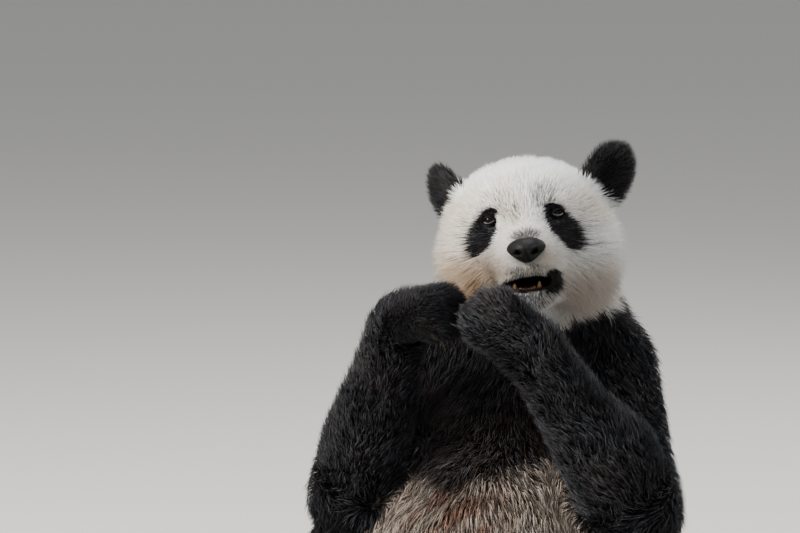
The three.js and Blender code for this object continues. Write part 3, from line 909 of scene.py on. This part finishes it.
def comb(tufts, points, fields, draw, clumping):
    """Where each tuft's bend and tip are, following the lie, the body's curve and the lock that the tuft belongs to."""
    root, out, lie, top = tufts["root"], tufts["out"], tufts["lie"], tufts["top"]
    count = len(root)
    side = np.cross(out, lie)
    swirl = 0.24 * wander(root, 0.075, 21) + 0.14 * wander(root, 0.02, 22) + draw.normal(0, 0.14, count)
    lie = lie * np.cos(swirl)[:, None] + side * np.sin(swirl)[:, None]
    length = tufts["length"] * draw.uniform(0.7, 1.15, count) * np.where(top, 1.08, 0.92)
    flat = np.sqrt(np.maximum(length**2 - tufts["height"] ** 2, (0.45 * length) ** 2))
    low = np.select([top, tufts["short"]], [0.85, 0.92], 0.55)
    high = np.select([top, tufts["short"]], [1.24, 1.42], 1.02)
    rise = tufts["height"] * mix(low, high, draw.random(count))
    rise *= 1 + 0.10 * wander(root, 0.045, 23)
    target = root + lie * flat[:, None]
    near = nearest(points, target)
    normal = fields["out"][near]
    lift = dot(target - points[near], normal)
    agrees = dot(normal, out) > 0.2
    followed = target + normal * (rise - lift)[:, None]
    straight = target + out * rise[:, None]
    tip = np.where(agrees[:, None], followed, straight)

    # Locks: tufts near one seed point lean their tips towards that seed's tip.
    seeds = np.flatnonzero(draw.random(count) < 1 / LOCK_TUFTS)
    leader = seeds[nearest(root[seeds], root)]
    same = dot(out[leader], out) > 0.5
    near_enough = np.linalg.norm(root[leader] - root, axis=1) < 5 * tufts["gap"]
    pull = clumping * draw.uniform(0.4, 1.2, count) * (same & near_enough) * smooth_step(0.010, 0.035, tufts["length"])
    tip = tip + (tip[leader] - tip) * pull[:, None]
    ahead = (tip - root) * 0.40
    bend = root + ahead + out * (tufts["height"] * 0.66 - dot(ahead, out))[:, None]
    return bend, tip


def colour_tufts(tufts, draw):
    """Root, bend and tip colour of each tuft, and whether it is of the black coat, which a stray dark hair isn't."""
    count = len(tufts["root"])
    black = tufts["dark"] + draw.normal(0, 0.07, count) > 0.5
    stray = (draw.random(count) < tufts["stray"]) & ~black
    dark = black | stray
    light = tufts["light"] * draw.normal(1, 0.10, count)[:, None]
    glint = draw.random(count) ** 4 * np.where(tufts["ear"], 0.25, 1)
    deep = tufts["deep"] * draw.uniform(0.6, 1.4, count)[:, None]
    deep = deep + rgb(GLINT) * (glint * ~stray)[:, None]
    grey = mix(deep, light, draw.uniform(0.05, 0.30, count) + np.where(tufts["short"], 0, 0.25))  # a stray hair's
    base = np.where(stray[:, None], grey, np.where(black[:, None], deep, light))
    # Each tuft is darkened toward its root as painted shade among the tufts, and lightened a little at its tip.
    root = base * np.where(dark, 0.7, 0.9)[:, None]
    bend = base * np.where(dark, 0.9, 0.97)[:, None]
    tip = base * np.where(dark, 1.2, 1.05)[:, None]
    return [np.clip(c, 0, 0.93) for c in (root, bend, tip)], black


COAT_PIECES = {  # each piece of the coat, with the nodes that it grows on
    "coat_face": ("head", "jaw"),
    "coat_ears": ("ear",),
    "coat_neck": ("neck",),
    "coat_chest": ("chest",),
    "coat_abdomen": ("abdomen", "tail"),
    "coat_upper_arms": ("upper_arm",),
    "coat_forearms": ("forearm",),
    "coat_forepaws": ("forepaw",),
    "coat_thighs": ("thigh",),
    "coat_shanks": ("shank",),
    "coat_hind_feet": ("hindfoot",),
}
SHORT = SKULL + ("ear",) + PAW_KINDS
MOST_TRIANGLES = 190000  # in one piece of the coat
FLOOR_CLEARANCE = 0.0012  # metres: no part of a tuft is lower than this
TOP_SHARE = 0.28  # the share of body tufts that are bent and lie on top
ROOT_DEPTH = 0.0008  # metres that a tuft's foot is sunk into the skin, besides a quarter of its width


class PANDA_OT_coat(bpy.types.Operator):
    """Grow the coat: solid tufts over the whole skin, along its lie and with its markings"""

    bl_idname = "panda.coat"
    bl_label = "Coat"

    def execute(self, context):
        coat = context.scene.panda_coat
        draw = np.random.default_rng(coat.seed)
        skin = bpy.data.objects["skin"]
        tufts, points, fields = grow(skin, draw, coat.sparseness)
        kinds = list(COATS)
        regions = tufts["region"]
        short = np.isin(regions, [kinds.index(n) for n in SHORT])
        count = len(regions)
        tufts["top"], tufts["short"] = (draw.random(count) < TOP_SHARE) & ~short, short
        tufts["ear"] = regions == kinds.index("ear")
        bend, tip = comb(tufts, points, fields, draw, coat.clumping)
        (root_colour, bend_colour, tip_colour), dark = colour_tufts(tufts, draw)
        root, out = tufts["root"], tufts["out"]
        width = tufts["width"] * draw.uniform(0.75, 1.25, count) * np.where(tufts["top"], 1.0, 0.9)
        width *= 1.0
        across = unit(np.cross(unit(tip - root), out))
        up = np.cross(across, unit(tip - root))
        hair = coat_material()
        for name, nodes in COAT_PIECES.items():
            mine = np.isin(regions, [kinds.index(n) for n in nodes])
            for suffix, shape, chosen, slot in (
                ("_white", STRAIGHT, mine & ~dark & ~tufts["top"], "coat_white"),
                ("_white_top", BENT, mine & ~dark & tufts["top"], "coat_white"),
                ("_black", STRAIGHT, mine & dark & ~tufts["top"], "coat_black"),
                ("_black_top", BENT, mine & dark & tufts["top"], "coat_black"),
            ):
                picked = np.flatnonzero(chosen)
                parts = math.ceil(len(picked) * shape["triangles"] / MOST_TRIANGLES)
                for part in range(parts):
                    some = picked[part * len(picked) // parts : (part + 1) * len(picked) // parts]
                    foot = root[some] - out[some] * (0.25 * width[some] + ROOT_DEPTH)[:, None]
                    w = width[some][:, None]
                    s, u = across[some], up[some]
                    ring = [foot - s * w / 2, foot + s * w / 2, foot + u * w * 0.5]
                    tints = [root_colour[some]] * 3
                    if shape is BENT:
                        at = bend[some]
                        ring += [at - s * w * 0.42, at + s * w * 0.42, at + u * w * 0.34]
                        tints += [bend_colour[some]] * 3
                    ring.append(tip[some])
                    tints.append(tip_colour[some])
                    corners = np.stack(ring, axis=1)
                    corners[..., 2] = np.maximum(corners[..., 2], FLOOR_CLEARANCE)
                    number = f"_{part + 1}" if parts > 1 else ""
                    mesh = tuft_mesh(name + suffix + number, shape, corners, np.stack(tints, axis=1),
                                     tufts["patch"][some])
                    new_object(name + suffix + number, mesh, hair)
        return {"FINISHED"}


# ---------------------------------------------------------------- the bare parts


def leather_material(name, colour, roughness, grain_mm, depth_mm, coat):
    """Bare, pebbled skin: creased between its grains, uneven in tone every 11 mm, and as glossy as it is wet (coat)."""
    made, tree, surface = material(name, {"Base Color": linear(colour), "Roughness": roughness, "IOR": 1.4,
                                          "Specular IOR Level": 0.22, "Coat Weight": coat, "Coat Roughness": 0.25})
    spot = add(tree, "ShaderNodeTexCoord")
    grain = add(tree, "ShaderNodeTexVoronoi", {"feature": "SMOOTH_F1", "Scale": 1000 / grain_mm},
                {"Vector": spot.outputs["Object"]})
    patch = add(tree, "ShaderNodeTexNoise", {"Scale": 90.0, "Detail": 4.0}, {"Vector": spot.outputs["Object"]})
    tone = add(tree, "ShaderNodeMapRange", {"To Min": 0.65, "To Max": 1.5}, {"Value": patch.outputs["Fac"]})
    shade = add(tree, "ShaderNodeVectorMath", {"operation": "SCALE", 0: linear(colour)[:3]}, {"Scale": tone.outputs[0]})
    tree.links.new(shade.outputs[0], surface.inputs["Base Color"])
    bump = add(tree, "ShaderNodeBump", {"Strength": 0.5, "Distance": depth_mm * MM, "invert": True},
               {"Height": grain.outputs["Distance"]})
    tree.links.new(bump.outputs[0], surface.inputs["Normal"])
    return made


class PANDA_OT_nose(bpy.types.Operator):
    """Shape the nose pad with its two comma-shaped nostrils and the groove below them"""

    bl_idname = "panda.nose"
    bl_label = "Nose"

    def execute(self, context):
        def place(u, v):
            angle, polar = 2 * math.pi * u, math.radians(125) * v
            x = np.sin(polar) * np.cos(angle) * 31.5
            z = np.sin(polar) * np.sin(angle) * 19.5
            y = -np.cos(polar) * 16
            x *= 1 - 0.42 * smooth_step(2, -22, z)
            z = z * np.where(z < 0, 1.15, 0.92)
            y += 0.30 * np.maximum(0, z - 2) + 0.012 * x**2
            groove = np.exp(-((x / 2.0) ** 2))
            y += groove * (2.6 * smooth_step(2, -12, z) + 0.5) * (v < 0.8)
            for sign in (1, -1):
                hole = np.hypot((x * sign - 12.5) / 5.0, (z + 4.5 - 0.35 * (x * sign - 12.5)) / 3.9)
                slit = np.hypot((x * sign - 19.5) / 8.0, (z + 5.5 + 0.018 * (x * sign - 17) ** 2) / 2.3)
                y += 8.0 * smooth_step(1.25, 0.45, hole) + 5.0 * smooth_step(1.25, 0.3, slit)
                y -= 0.9 * np.exp(-(((hole - 1.7) / 0.45) ** 2)) * (z > -8)
            return head_places(np.stack([x, y, z + 2.5], axis=1) + NOSE)

        new_object("nose_pad", smooth_mesh("nose_pad", moulded(120, 64, place)),
                   leather_material("nose_leather", "#0C0A0B", 0.6, 1.5, 0.8, 0.06), ["nose"])
        return {"FINISHED"}


class PANDA_OT_eyes(bpy.types.Operator):
    """Make each eyeball with its brown iris and slit pupil, and the bare rims of its lids"""

    bl_idname = "panda.eyes"
    bl_label = "Eyes"

    def execute(self, context):
        eye, rim = self.eye_material(), self.rim_material()
        for side in SIDES:
            middle, axes = eye_axes(side)

            def ball(u, v):
                angle, polar = 2 * math.pi * u, math.pi * v
                radius = EYEBALL + 0.8 * smooth_step(0.62, 0.1, polar)
                q = np.stack([np.sin(polar) * np.cos(angle), -np.cos(polar), np.sin(polar) * np.sin(angle)], axis=1)
                return head_places(q * radius[:, None] @ axes + middle)

            def lids(u, v):
                x, z = lid_outline(2 * math.pi * u)
                rings = np.array([0.0, 0.18, 0.36, 0.52, 0.7, 0.86, 1.0])
                grow = np.interp(v, rings, [0.93, 0.96, 1.0, 1.08, 1.22, 1.42, 1.56])
                proud = np.interp(v, rings, [-1.5, 0.3, 1.1, 1.7, 1.6, 0.6, -2.5])
                upper = smooth_step(-1, 3, z)
                proud = proud + 0.7 * upper * ((v > 0.2) & (v < 0.8))
                x, z = x * grow, z * grow * mix(1.0, 1.1, smooth_step(0.4, 1.0, v))
                radius = EYEBALL + proud
                y = -np.sqrt(np.maximum(radius**2 - x**2 - z**2, 4.0))
                return head_places(np.stack([x, y, z], axis=1) @ axes + middle)

            made = new_object("eyeball_" + side, smooth_mesh("eyeball_" + side, moulded(48, 36, ball)), eye,
                              ["eye_" + side])
            own = (in_head(places(made.data)) - middle) @ axes.T
            store(made.data, "from_pupil", "FLOAT_VECTOR", own[:, [0, 2, 1]])
            lid_mesh = smooth_mesh("eyelids_" + side, moulded(64, 24, lids))
            lid = new_object("eyelids_" + side, lid_mesh, rim)
            thick = lid.modifiers.new("thickness", "SOLIDIFY")
            thick.thickness, thick.offset = 0.0006, -1
            own = (in_head(places(lid.data)) - middle) @ axes.T
            # The lower lid's paler edge is painted sheen of its wet rim.
            lower = smooth_step(0.0, -2.5, own[:, 2])
            store(lid.data, "lower_lid_sheen", "FLOAT", smooth_step(1.2, 1.02, lids_opened(own)) * lower)
        return {"FINISHED"}

    def eye_material(self):
        """A wet cornea over a dark brown iris: the clear coat holds one sharp glint, and the iris below it is soft."""
        made, tree, surface = material("wet_eye", {"Roughness": 0.35, "IOR": 1.33, "Coat Weight": 0.4,
                                                   "Coat Roughness": 0.02, "Coat IOR": 1.38,
                                                   "Specular IOR Level": 0.1})
        place = add(tree, "ShaderNodeAttribute", {"attribute_name": "from_pupil"})
        flat = add(tree, "ShaderNodeVectorMath", {"operation": "MULTIPLY", 1: (1, 1, 0)}, {0: place.outputs["Vector"]})
        far = add(tree, "ShaderNodeVectorMath", {"operation": "LENGTH"}, {0: flat.outputs[0]})
        share = add(tree, "ShaderNodeMath", {"operation": "DIVIDE", 1: EYEBALL}, {0: far.outputs["Value"]})
        iris = add(tree, "ShaderNodeValToRGB", {"stops": [
            (0.0, "#120B07"), (1.0, "#0C0908"), (0.34, "#1A0F09"), (0.54, "#100A07"), (0.62, "#060404"),
            (0.72, "#0F0B0A")]}, {"Fac": share.outputs[0]})
        way = add(tree, "ShaderNodeVectorMath", {"operation": "NORMALIZE"}, {0: flat.outputs[0]})
        streak = add(tree, "ShaderNodeTexNoise", {"Scale": 9.0, "Detail": 2.0}, {"Vector": way.outputs[0]})
        light = add(tree, "ShaderNodeMapRange", {"To Min": 0.5, "To Max": 1.6}, {"Value": streak.outputs["Fac"]})
        lit = add(tree, "ShaderNodeVectorMath", {"operation": "SCALE"}, {0: iris.outputs[0], "Scale": light.outputs[0]})
        slit = add(tree, "ShaderNodeVectorMath", {"operation": "MULTIPLY", 1: (1.0, 0.62, 0)},
                   {0: place.outputs["Vector"]})
        hole = add(tree, "ShaderNodeVectorMath", {"operation": "LENGTH"}, {0: slit.outputs[0]})
        edge = add(tree, "ShaderNodeMapRange", {"From Min": 2.3, "From Max": 3.0}, {"Value": hole.outputs["Value"]})
        dark = add(tree, "ShaderNodeVectorMath", {"operation": "SCALE"}, {0: lit.outputs[0], "Scale": edge.outputs[0]})
        tree.links.new(dark.outputs[0], surface.inputs["Base Color"])
        return made

    def rim_material(self):
        """Bare lid skin: nearly black, creased every millimetre, with a paler edge along the lower lid that is painted
        sheen of its wet rim.
        """
        made, tree, surface = material("lid_skin", {"Roughness": 0.62, "IOR": 1.4, "Specular IOR Level": 0.25})
        wet = add(tree, "ShaderNodeAttribute", {"attribute_name": "lower_lid_sheen"})
        tone = add(tree, "ShaderNodeValToRGB", {"stops": [(0.0, "#0B0909"), (1.0, "#857F81")]},
                   {"Fac": wet.outputs["Fac"]})
        tree.links.new(tone.outputs[0], surface.inputs["Base Color"])
        spot = add(tree, "ShaderNodeTexCoord")
        crease = add(tree, "ShaderNodeTexNoise", {"Scale": 900.0, "Detail": 2.0}, {"Vector": spot.outputs["Object"]})
        bump = add(tree, "ShaderNodeBump", {"Strength": 0.4, "Distance": 0.0004}, {"Height": crease.outputs["Fac"]})
        tree.links.new(bump.outputs[0], surface.inputs["Normal"])
        return made


JAW_SHIFT = -6  # the lower jaw is pushed to the right as it chews, millimetres


class PANDA_OT_mouth(bpy.types.Operator):
    """Set the tongue and the lower teeth into the open mouth"""

    bl_idname = "panda.mouth"
    bl_label = "Mouth"

    def execute(self, context):
        def tongue(u, v):
            angle, polar = 2 * math.pi * u, math.pi * v
            y = -40 * np.cos(polar)
            x = 22 * np.sin(polar) ** 0.8 * np.cos(angle)
            z = 7.5 * np.sin(polar) ** 0.7 * np.sin(angle) - 0.0035 * (y + 8) ** 2
            z -= 2.2 * np.exp(-((x / 3.5) ** 2)) * (np.sin(angle) > 0)
            return head_places(np.stack([x, y, z], axis=1) + (JAW_SHIFT, -97, -80))

        new_object("tongue", smooth_mesh("tongue", moulded(40, 30, tongue)),
                   leather_material("tongue_skin", "#7A4444", 0.38, 0.9, 0.2, 0.5))

        def tooth(base, tip, radius, flatness, blunt=2.2):
            """A slightly curved peg from base to tip. The greater blunt is, the squarer its end."""
            axis = unit(np.array(tip, float) - base)
            side = unit(np.cross(axis, (0, 1, 0)))
            deep = np.cross(side, axis)

            def place(u, v):
                angle = 2 * math.pi * u
                t = v[:, None]
                thick = radius * np.sqrt(np.clip(1 - v**blunt, 0, 1)) * np.clip(v * 8, 0, 1)
                centre = np.array(base, float) * (1 - t) + np.array(tip) * t + deep * (1.6 * np.sin(math.pi * t))
                ring = side * np.cos(angle)[:, None] + deep * (flatness * np.sin(angle))[:, None]
                return head_places(centre + ring * thick[:, None])

            return moulded(14, 12, place)

        # Two canines and six incisors.
        teeth = [tooth((x * 18 + JAW_SHIFT, -131, -94), (x * 20 + JAW_SHIFT, -138, -66), 5.0, 0.9) for x in (1, -1)]
        for x in (-11, -6.6, -2.2, 2.2, 6.6, 11):
            y = -137.5 + 0.035 * x * x
            tip = (x * 1.04 + JAW_SHIFT, y - 1.5, -76 + 0.02 * x * x)
            teeth.append(tooth((x + JAW_SHIFT, y, -92), tip, 2.6, 0.6, 8))
        # Worn tooth enamel: smooth and wet, cream stained brown in patches of 8 mm.
        enamel, tree, surface = material("worn_enamel", {"Roughness": 0.25, "IOR": 1.62, "Coat Weight": 0.4,
                                                         "Coat Roughness": 0.1})
        spot = add(tree, "ShaderNodeTexCoord")
        stain = add(tree, "ShaderNodeTexNoise", {"Scale": 130.0, "Detail": 3.0}, {"Vector": spot.outputs["Object"]})
        tone = add(tree, "ShaderNodeValToRGB", {"stops": [(0.25, "#7A4A1C"), (0.75, "#D8B878")]},
                   {"Fac": stain.outputs["Fac"]})
        tree.links.new(tone.outputs[0], surface.inputs["Base Color"])
        new_object("lower_teeth", smooth_mesh("lower_teeth", *teeth), enamel)
        return {"FINISHED"}


CLAW_START = 0.3  # of the toe's radius ahead of the toe's middle
PAD_FACE = 0.75  # of a pad's rings are on its face, and the others under it
# Millimetres: how far from a pad's plane its skin is looked for, where it usually is, and how much it curves.
PAD_SEARCH, PAD_DEPTH, PAD_CURVE = 30.0, -10.0, 7.0


class PANDA_OT_paws(bpy.types.Operator):
    """Give each paw its five claws and its bare pads"""

    bl_idname = "panda.paws"
    bl_label = "Claws and pads"

    def execute(self, context):
        skin = bpy.data.objects["skin"]
        surface = BVHTree.FromObject(skin, context.evaluated_depsgraph_get())
        horn = self.horn_material()
        pad_skin = leather_material("pad_leather", "#171311", 0.68, 1.8, 0.4, 0.0)
        for paw in PAWS:
            claws = smooth_mesh("claws", *[self.claw(paw, toe) for toe in paw.toes])
            made = new_object("claws_" + paw.name, claws, horn,
                              [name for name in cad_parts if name.startswith(paw.name + "_claw")])
            points = places(made.data) / MM
            own_toe = np.argmin([np.linalg.norm(points - toe, axis=1) for toe in paw.toes], axis=0)
            along = (points - np.array(paw.toes)[own_toe]) @ paw.forward - CLAW_START * paw.toe
            store(made.data, "along_claw", "FLOAT", np.clip(along / paw.claw["length"], 0, 1.3))
            pads = smooth_mesh("pads", *[self.pad(paw, surface, *pad) for pad in paw.pads()])
            new_object("pads_" + paw.name, pads, pad_skin)
        return {"FINISHED"}

    def claw(self, paw, toe):
        """A hook that starts inside the toe and tapers to a point, deeper than it is broad."""
        size = paw.claw
        start = toe + paw.forward * paw.toe * CLAW_START

        def place(u, v):
            angle, t = 2 * math.pi * u, -0.35 + 1.35 * v
            thick = size["radius"] * np.clip(1 - np.maximum(t, 0) ** 1.5, 0, 1) ** 0.85 * np.clip(v * 10, 0, 1)
            line = start + paw.forward * (size["length"] * t)[:, None]
            line = line + paw.down * (size["droop"] * t * np.abs(t))[:, None]
            ring = paw.broad * (0.62 * np.cos(angle))[:, None] + paw.down * (0.9 * np.sin(angle))[:, None]
            return (line + ring * thick[:, None]) * MM

        return moulded(16, 18, place)

    def pad(self, paw, surface, middle, half, proud):
        """A rounded cushion that follows the paw's own skin, stands proud of it and closes under it."""

        def skin_height(point):
            """How high the paw's own skin is against a point, in millimetres out of the palm, or nan past its edge."""
            heights, start = [], PAD_SEARCH
            while start > -PAD_SEARCH:
                origin = Vector((point + paw.down * start) * MM)
                hit, normal, _, far = surface.ray_cast(origin, Vector(-paw.down), (start + PAD_SEARCH) * MM)
                if hit is None:
                    break
                start -= far / MM
                if normal.dot(Vector(paw.down)) > 0.15:
                    heights.append(start)
                start -= 0.5
            return min(heights, key=lambda height: abs(height - PAD_DEPTH), default=math.nan)

        def place(u, v):
            angle = 2 * math.pi * u
            seen = v < PAD_FACE
            share = np.where(seen, v / PAD_FACE, (1 - v) / (1 - PAD_FACE))
            height = np.where(seen, proud * (1 - share**3) - 1.0, -5.0)
            base = middle + paw.broad * (half[0] * share * np.cos(angle))[:, None]
            base = base + paw.along * (half[1] * share * np.sin(angle))[:, None]
            below = np.array([skin_height(point) for point in base])
            usual = PAD_DEPTH if np.isnan(below).all() else np.nanmedian(below)
            below = np.clip(np.where(np.isnan(below), usual - PAD_CURVE, below), usual - PAD_CURVE, usual + PAD_CURVE)
            return (base + paw.down * (below + height)[:, None]) * MM

        return moulded(24, 12, place)

    def horn_material(self):
        """Worn horn: matte and nearly black, a little paler toward the tip, with wear marks of 4 mm."""
        made, tree, surface = material("claw_horn", {"Roughness": 0.72, "IOR": 1.55, "Specular IOR Level": 0.18})
        along = add(tree, "ShaderNodeAttribute", {"attribute_name": "along_claw"})
        spot = add(tree, "ShaderNodeTexCoord")
        line = add(tree, "ShaderNodeTexNoise", {"Scale": 240.0, "Detail": 3.0}, {"Vector": spot.outputs["Object"]})
        mixed = add(tree, "ShaderNodeMath", {"operation": "MULTIPLY_ADD", 1: 0.35},
                    {0: line.outputs["Fac"], 2: along.outputs["Fac"]})
        tone = add(tree, "ShaderNodeValToRGB", {"stops": [(0.3, "#0D0B0A"), (1.0, "#2A241F"), (0.8, "#171310")]},
                   {"Fac": mixed.outputs[0]})
        tree.links.new(tone.outputs[0], surface.inputs["Base Color"])
        bump = add(tree, "ShaderNodeBump", {"Strength": 0.3, "Distance": 0.0004}, {"Height": line.outputs["Fac"]})
        tree.links.new(bump.outputs[0], surface.inputs["Normal"])
        return made


# ---------------------------------------------------------------- the stage

LENS, SENSOR, DISTANCE = 165.6, 36, 6.0  # millimetres, millimetres and metres
CAMERA_TURN, CAMERA_RISE = 17, 8  # degrees to the panda's left, and up
AIM_LEFT, AIM_DOWN = 0.207, 0.051  # how far the view's middle is from the head's, in metres
FLOOR_HALF = 60  # metres
LAMPS = (  # where each stands and how wide it is in metres, its power in watts, and its colour
    ("key", (-2.9, -2.8, 3.6), 1.5, 455, "#FFFBF5"),
    ("fill", (3.4, -3.2, 1.8), 2.6, 20, "#EAF1FF"),
    ("top", (0.2, 0.2, 4.0), 2.0, 120, "#FFFFFF"),
    ("rim", (1.8, 3.0, 2.6), 1.6, 55, "#F4F8FF"),
)
LAMPS_FACE = (0, -0.05, 0.5)
SKY_COLOUR, SKY_STRENGTH = "#E4E6E9", 0.53


class PANDA_OT_stage(bpy.types.Operator):
    """Set out the floor, the lights and the camera"""

    bl_idname = "panda.stage"
    bl_label = "Stage"

    def execute(self, context):
        made = bmesh.new()
        bmesh.ops.create_grid(made, x_segments=1, y_segments=1, size=FLOOR_HALF)
        mesh = bpy.data.meshes.new("floor")
        made.to_mesh(mesh)
        made.free()
        floor = bpy.data.objects.new("floor", mesh)
        context.scene.collection.objects.link(floor)
        mesh.materials.append(material("studio_paper", {"Base Color": linear("#D6D4CF"), "Roughness": 0.9})[0])
        for name, place, size, power, colour in LAMPS:
            lamp = bpy.data.lights.new(name, "AREA")
            lamp.energy, lamp.size, lamp.color = power, size, linear(colour)[:3]
            holder = bpy.data.objects.new(name, lamp)
            context.scene.collection.objects.link(holder)
            holder.location = place
            holder.rotation_euler = (Vector(LAMPS_FACE) - Vector(place)).to_track_quat("-Z", "Y").to_euler()
        world = bpy.data.worlds.new("studio")
        world.use_nodes = True
        world.node_tree.nodes["Background"].inputs["Color"].default_value = linear(SKY_COLOUR)
        world.node_tree.nodes["Background"].inputs["Strength"].default_value = SKY_STRENGTH
        context.scene.world = world
        turn, rise = math.radians(CAMERA_TURN), math.radians(CAMERA_RISE)
        back = Vector((math.sin(turn) * math.cos(rise), -math.cos(turn) * math.cos(rise), math.sin(rise)))
        sideways = Vector((math.cos(turn), math.sin(turn), 0))
        upward = back.cross(sideways)
        aim = Vector(HEAD_CENTRE) * MM - sideways * AIM_LEFT - upward * AIM_DOWN
        eye = bpy.data.cameras.new("camera")
        eye.lens, eye.sensor_width = LENS, SENSOR
        camera = bpy.data.objects.new("camera", eye)
        context.scene.collection.objects.link(camera)
        camera.location = aim + back * DISTANCE
        camera.rotation_euler = (-back).to_track_quat("-Z", "Y").to_euler()
        context.scene.camera = camera
        return {"FINISHED"}


class PANDA_PT_panel(bpy.types.Panel):
    """The panda's pieces and their settings"""

    bl_idname = "PANDA_PT_panel"
    bl_label = "Giant Panda"
    bl_space_type = "VIEW_3D"
    bl_region_type = "UI"
    bl_category = "Panda"

    def draw(self, context):
        for group in (context.scene.panda_coat, context.scene.panda_colours):
            for name in group.bl_rna.properties.keys():
                if name not in ("rna_type", "name"):
                    self.layout.prop(group, name)
        for operator in OPERATORS:
            self.layout.operator(operator.bl_idname)


OPERATORS = (PANDA_OT_stage, PANDA_OT_skin, PANDA_OT_eyes, PANDA_OT_nose, PANDA_OT_mouth, PANDA_OT_paws, PANDA_OT_coat)
GROUPS = (PandaCoat, PandaColours)
CLASSES = GROUPS + OPERATORS + (PANDA_PT_panel,)


def register():
    for cls in CLASSES:
        bpy.utils.register_class(cls)
    bpy.types.Scene.panda_coat = bpy.props.PointerProperty(type=PandaCoat)
    bpy.types.Scene.panda_colours = bpy.props.PointerProperty(type=PandaColours)


def unregister():
    del bpy.types.Scene.panda_coat, bpy.types.Scene.panda_colours
    for cls in reversed(CLASSES):
        bpy.utils.unregister_class(cls)


def main():
    register()
    for operator in OPERATORS:
        group, name = operator.bl_idname.split(".")
        getattr(getattr(bpy.ops, group), name)()


if __name__ == "__main__":
    main()
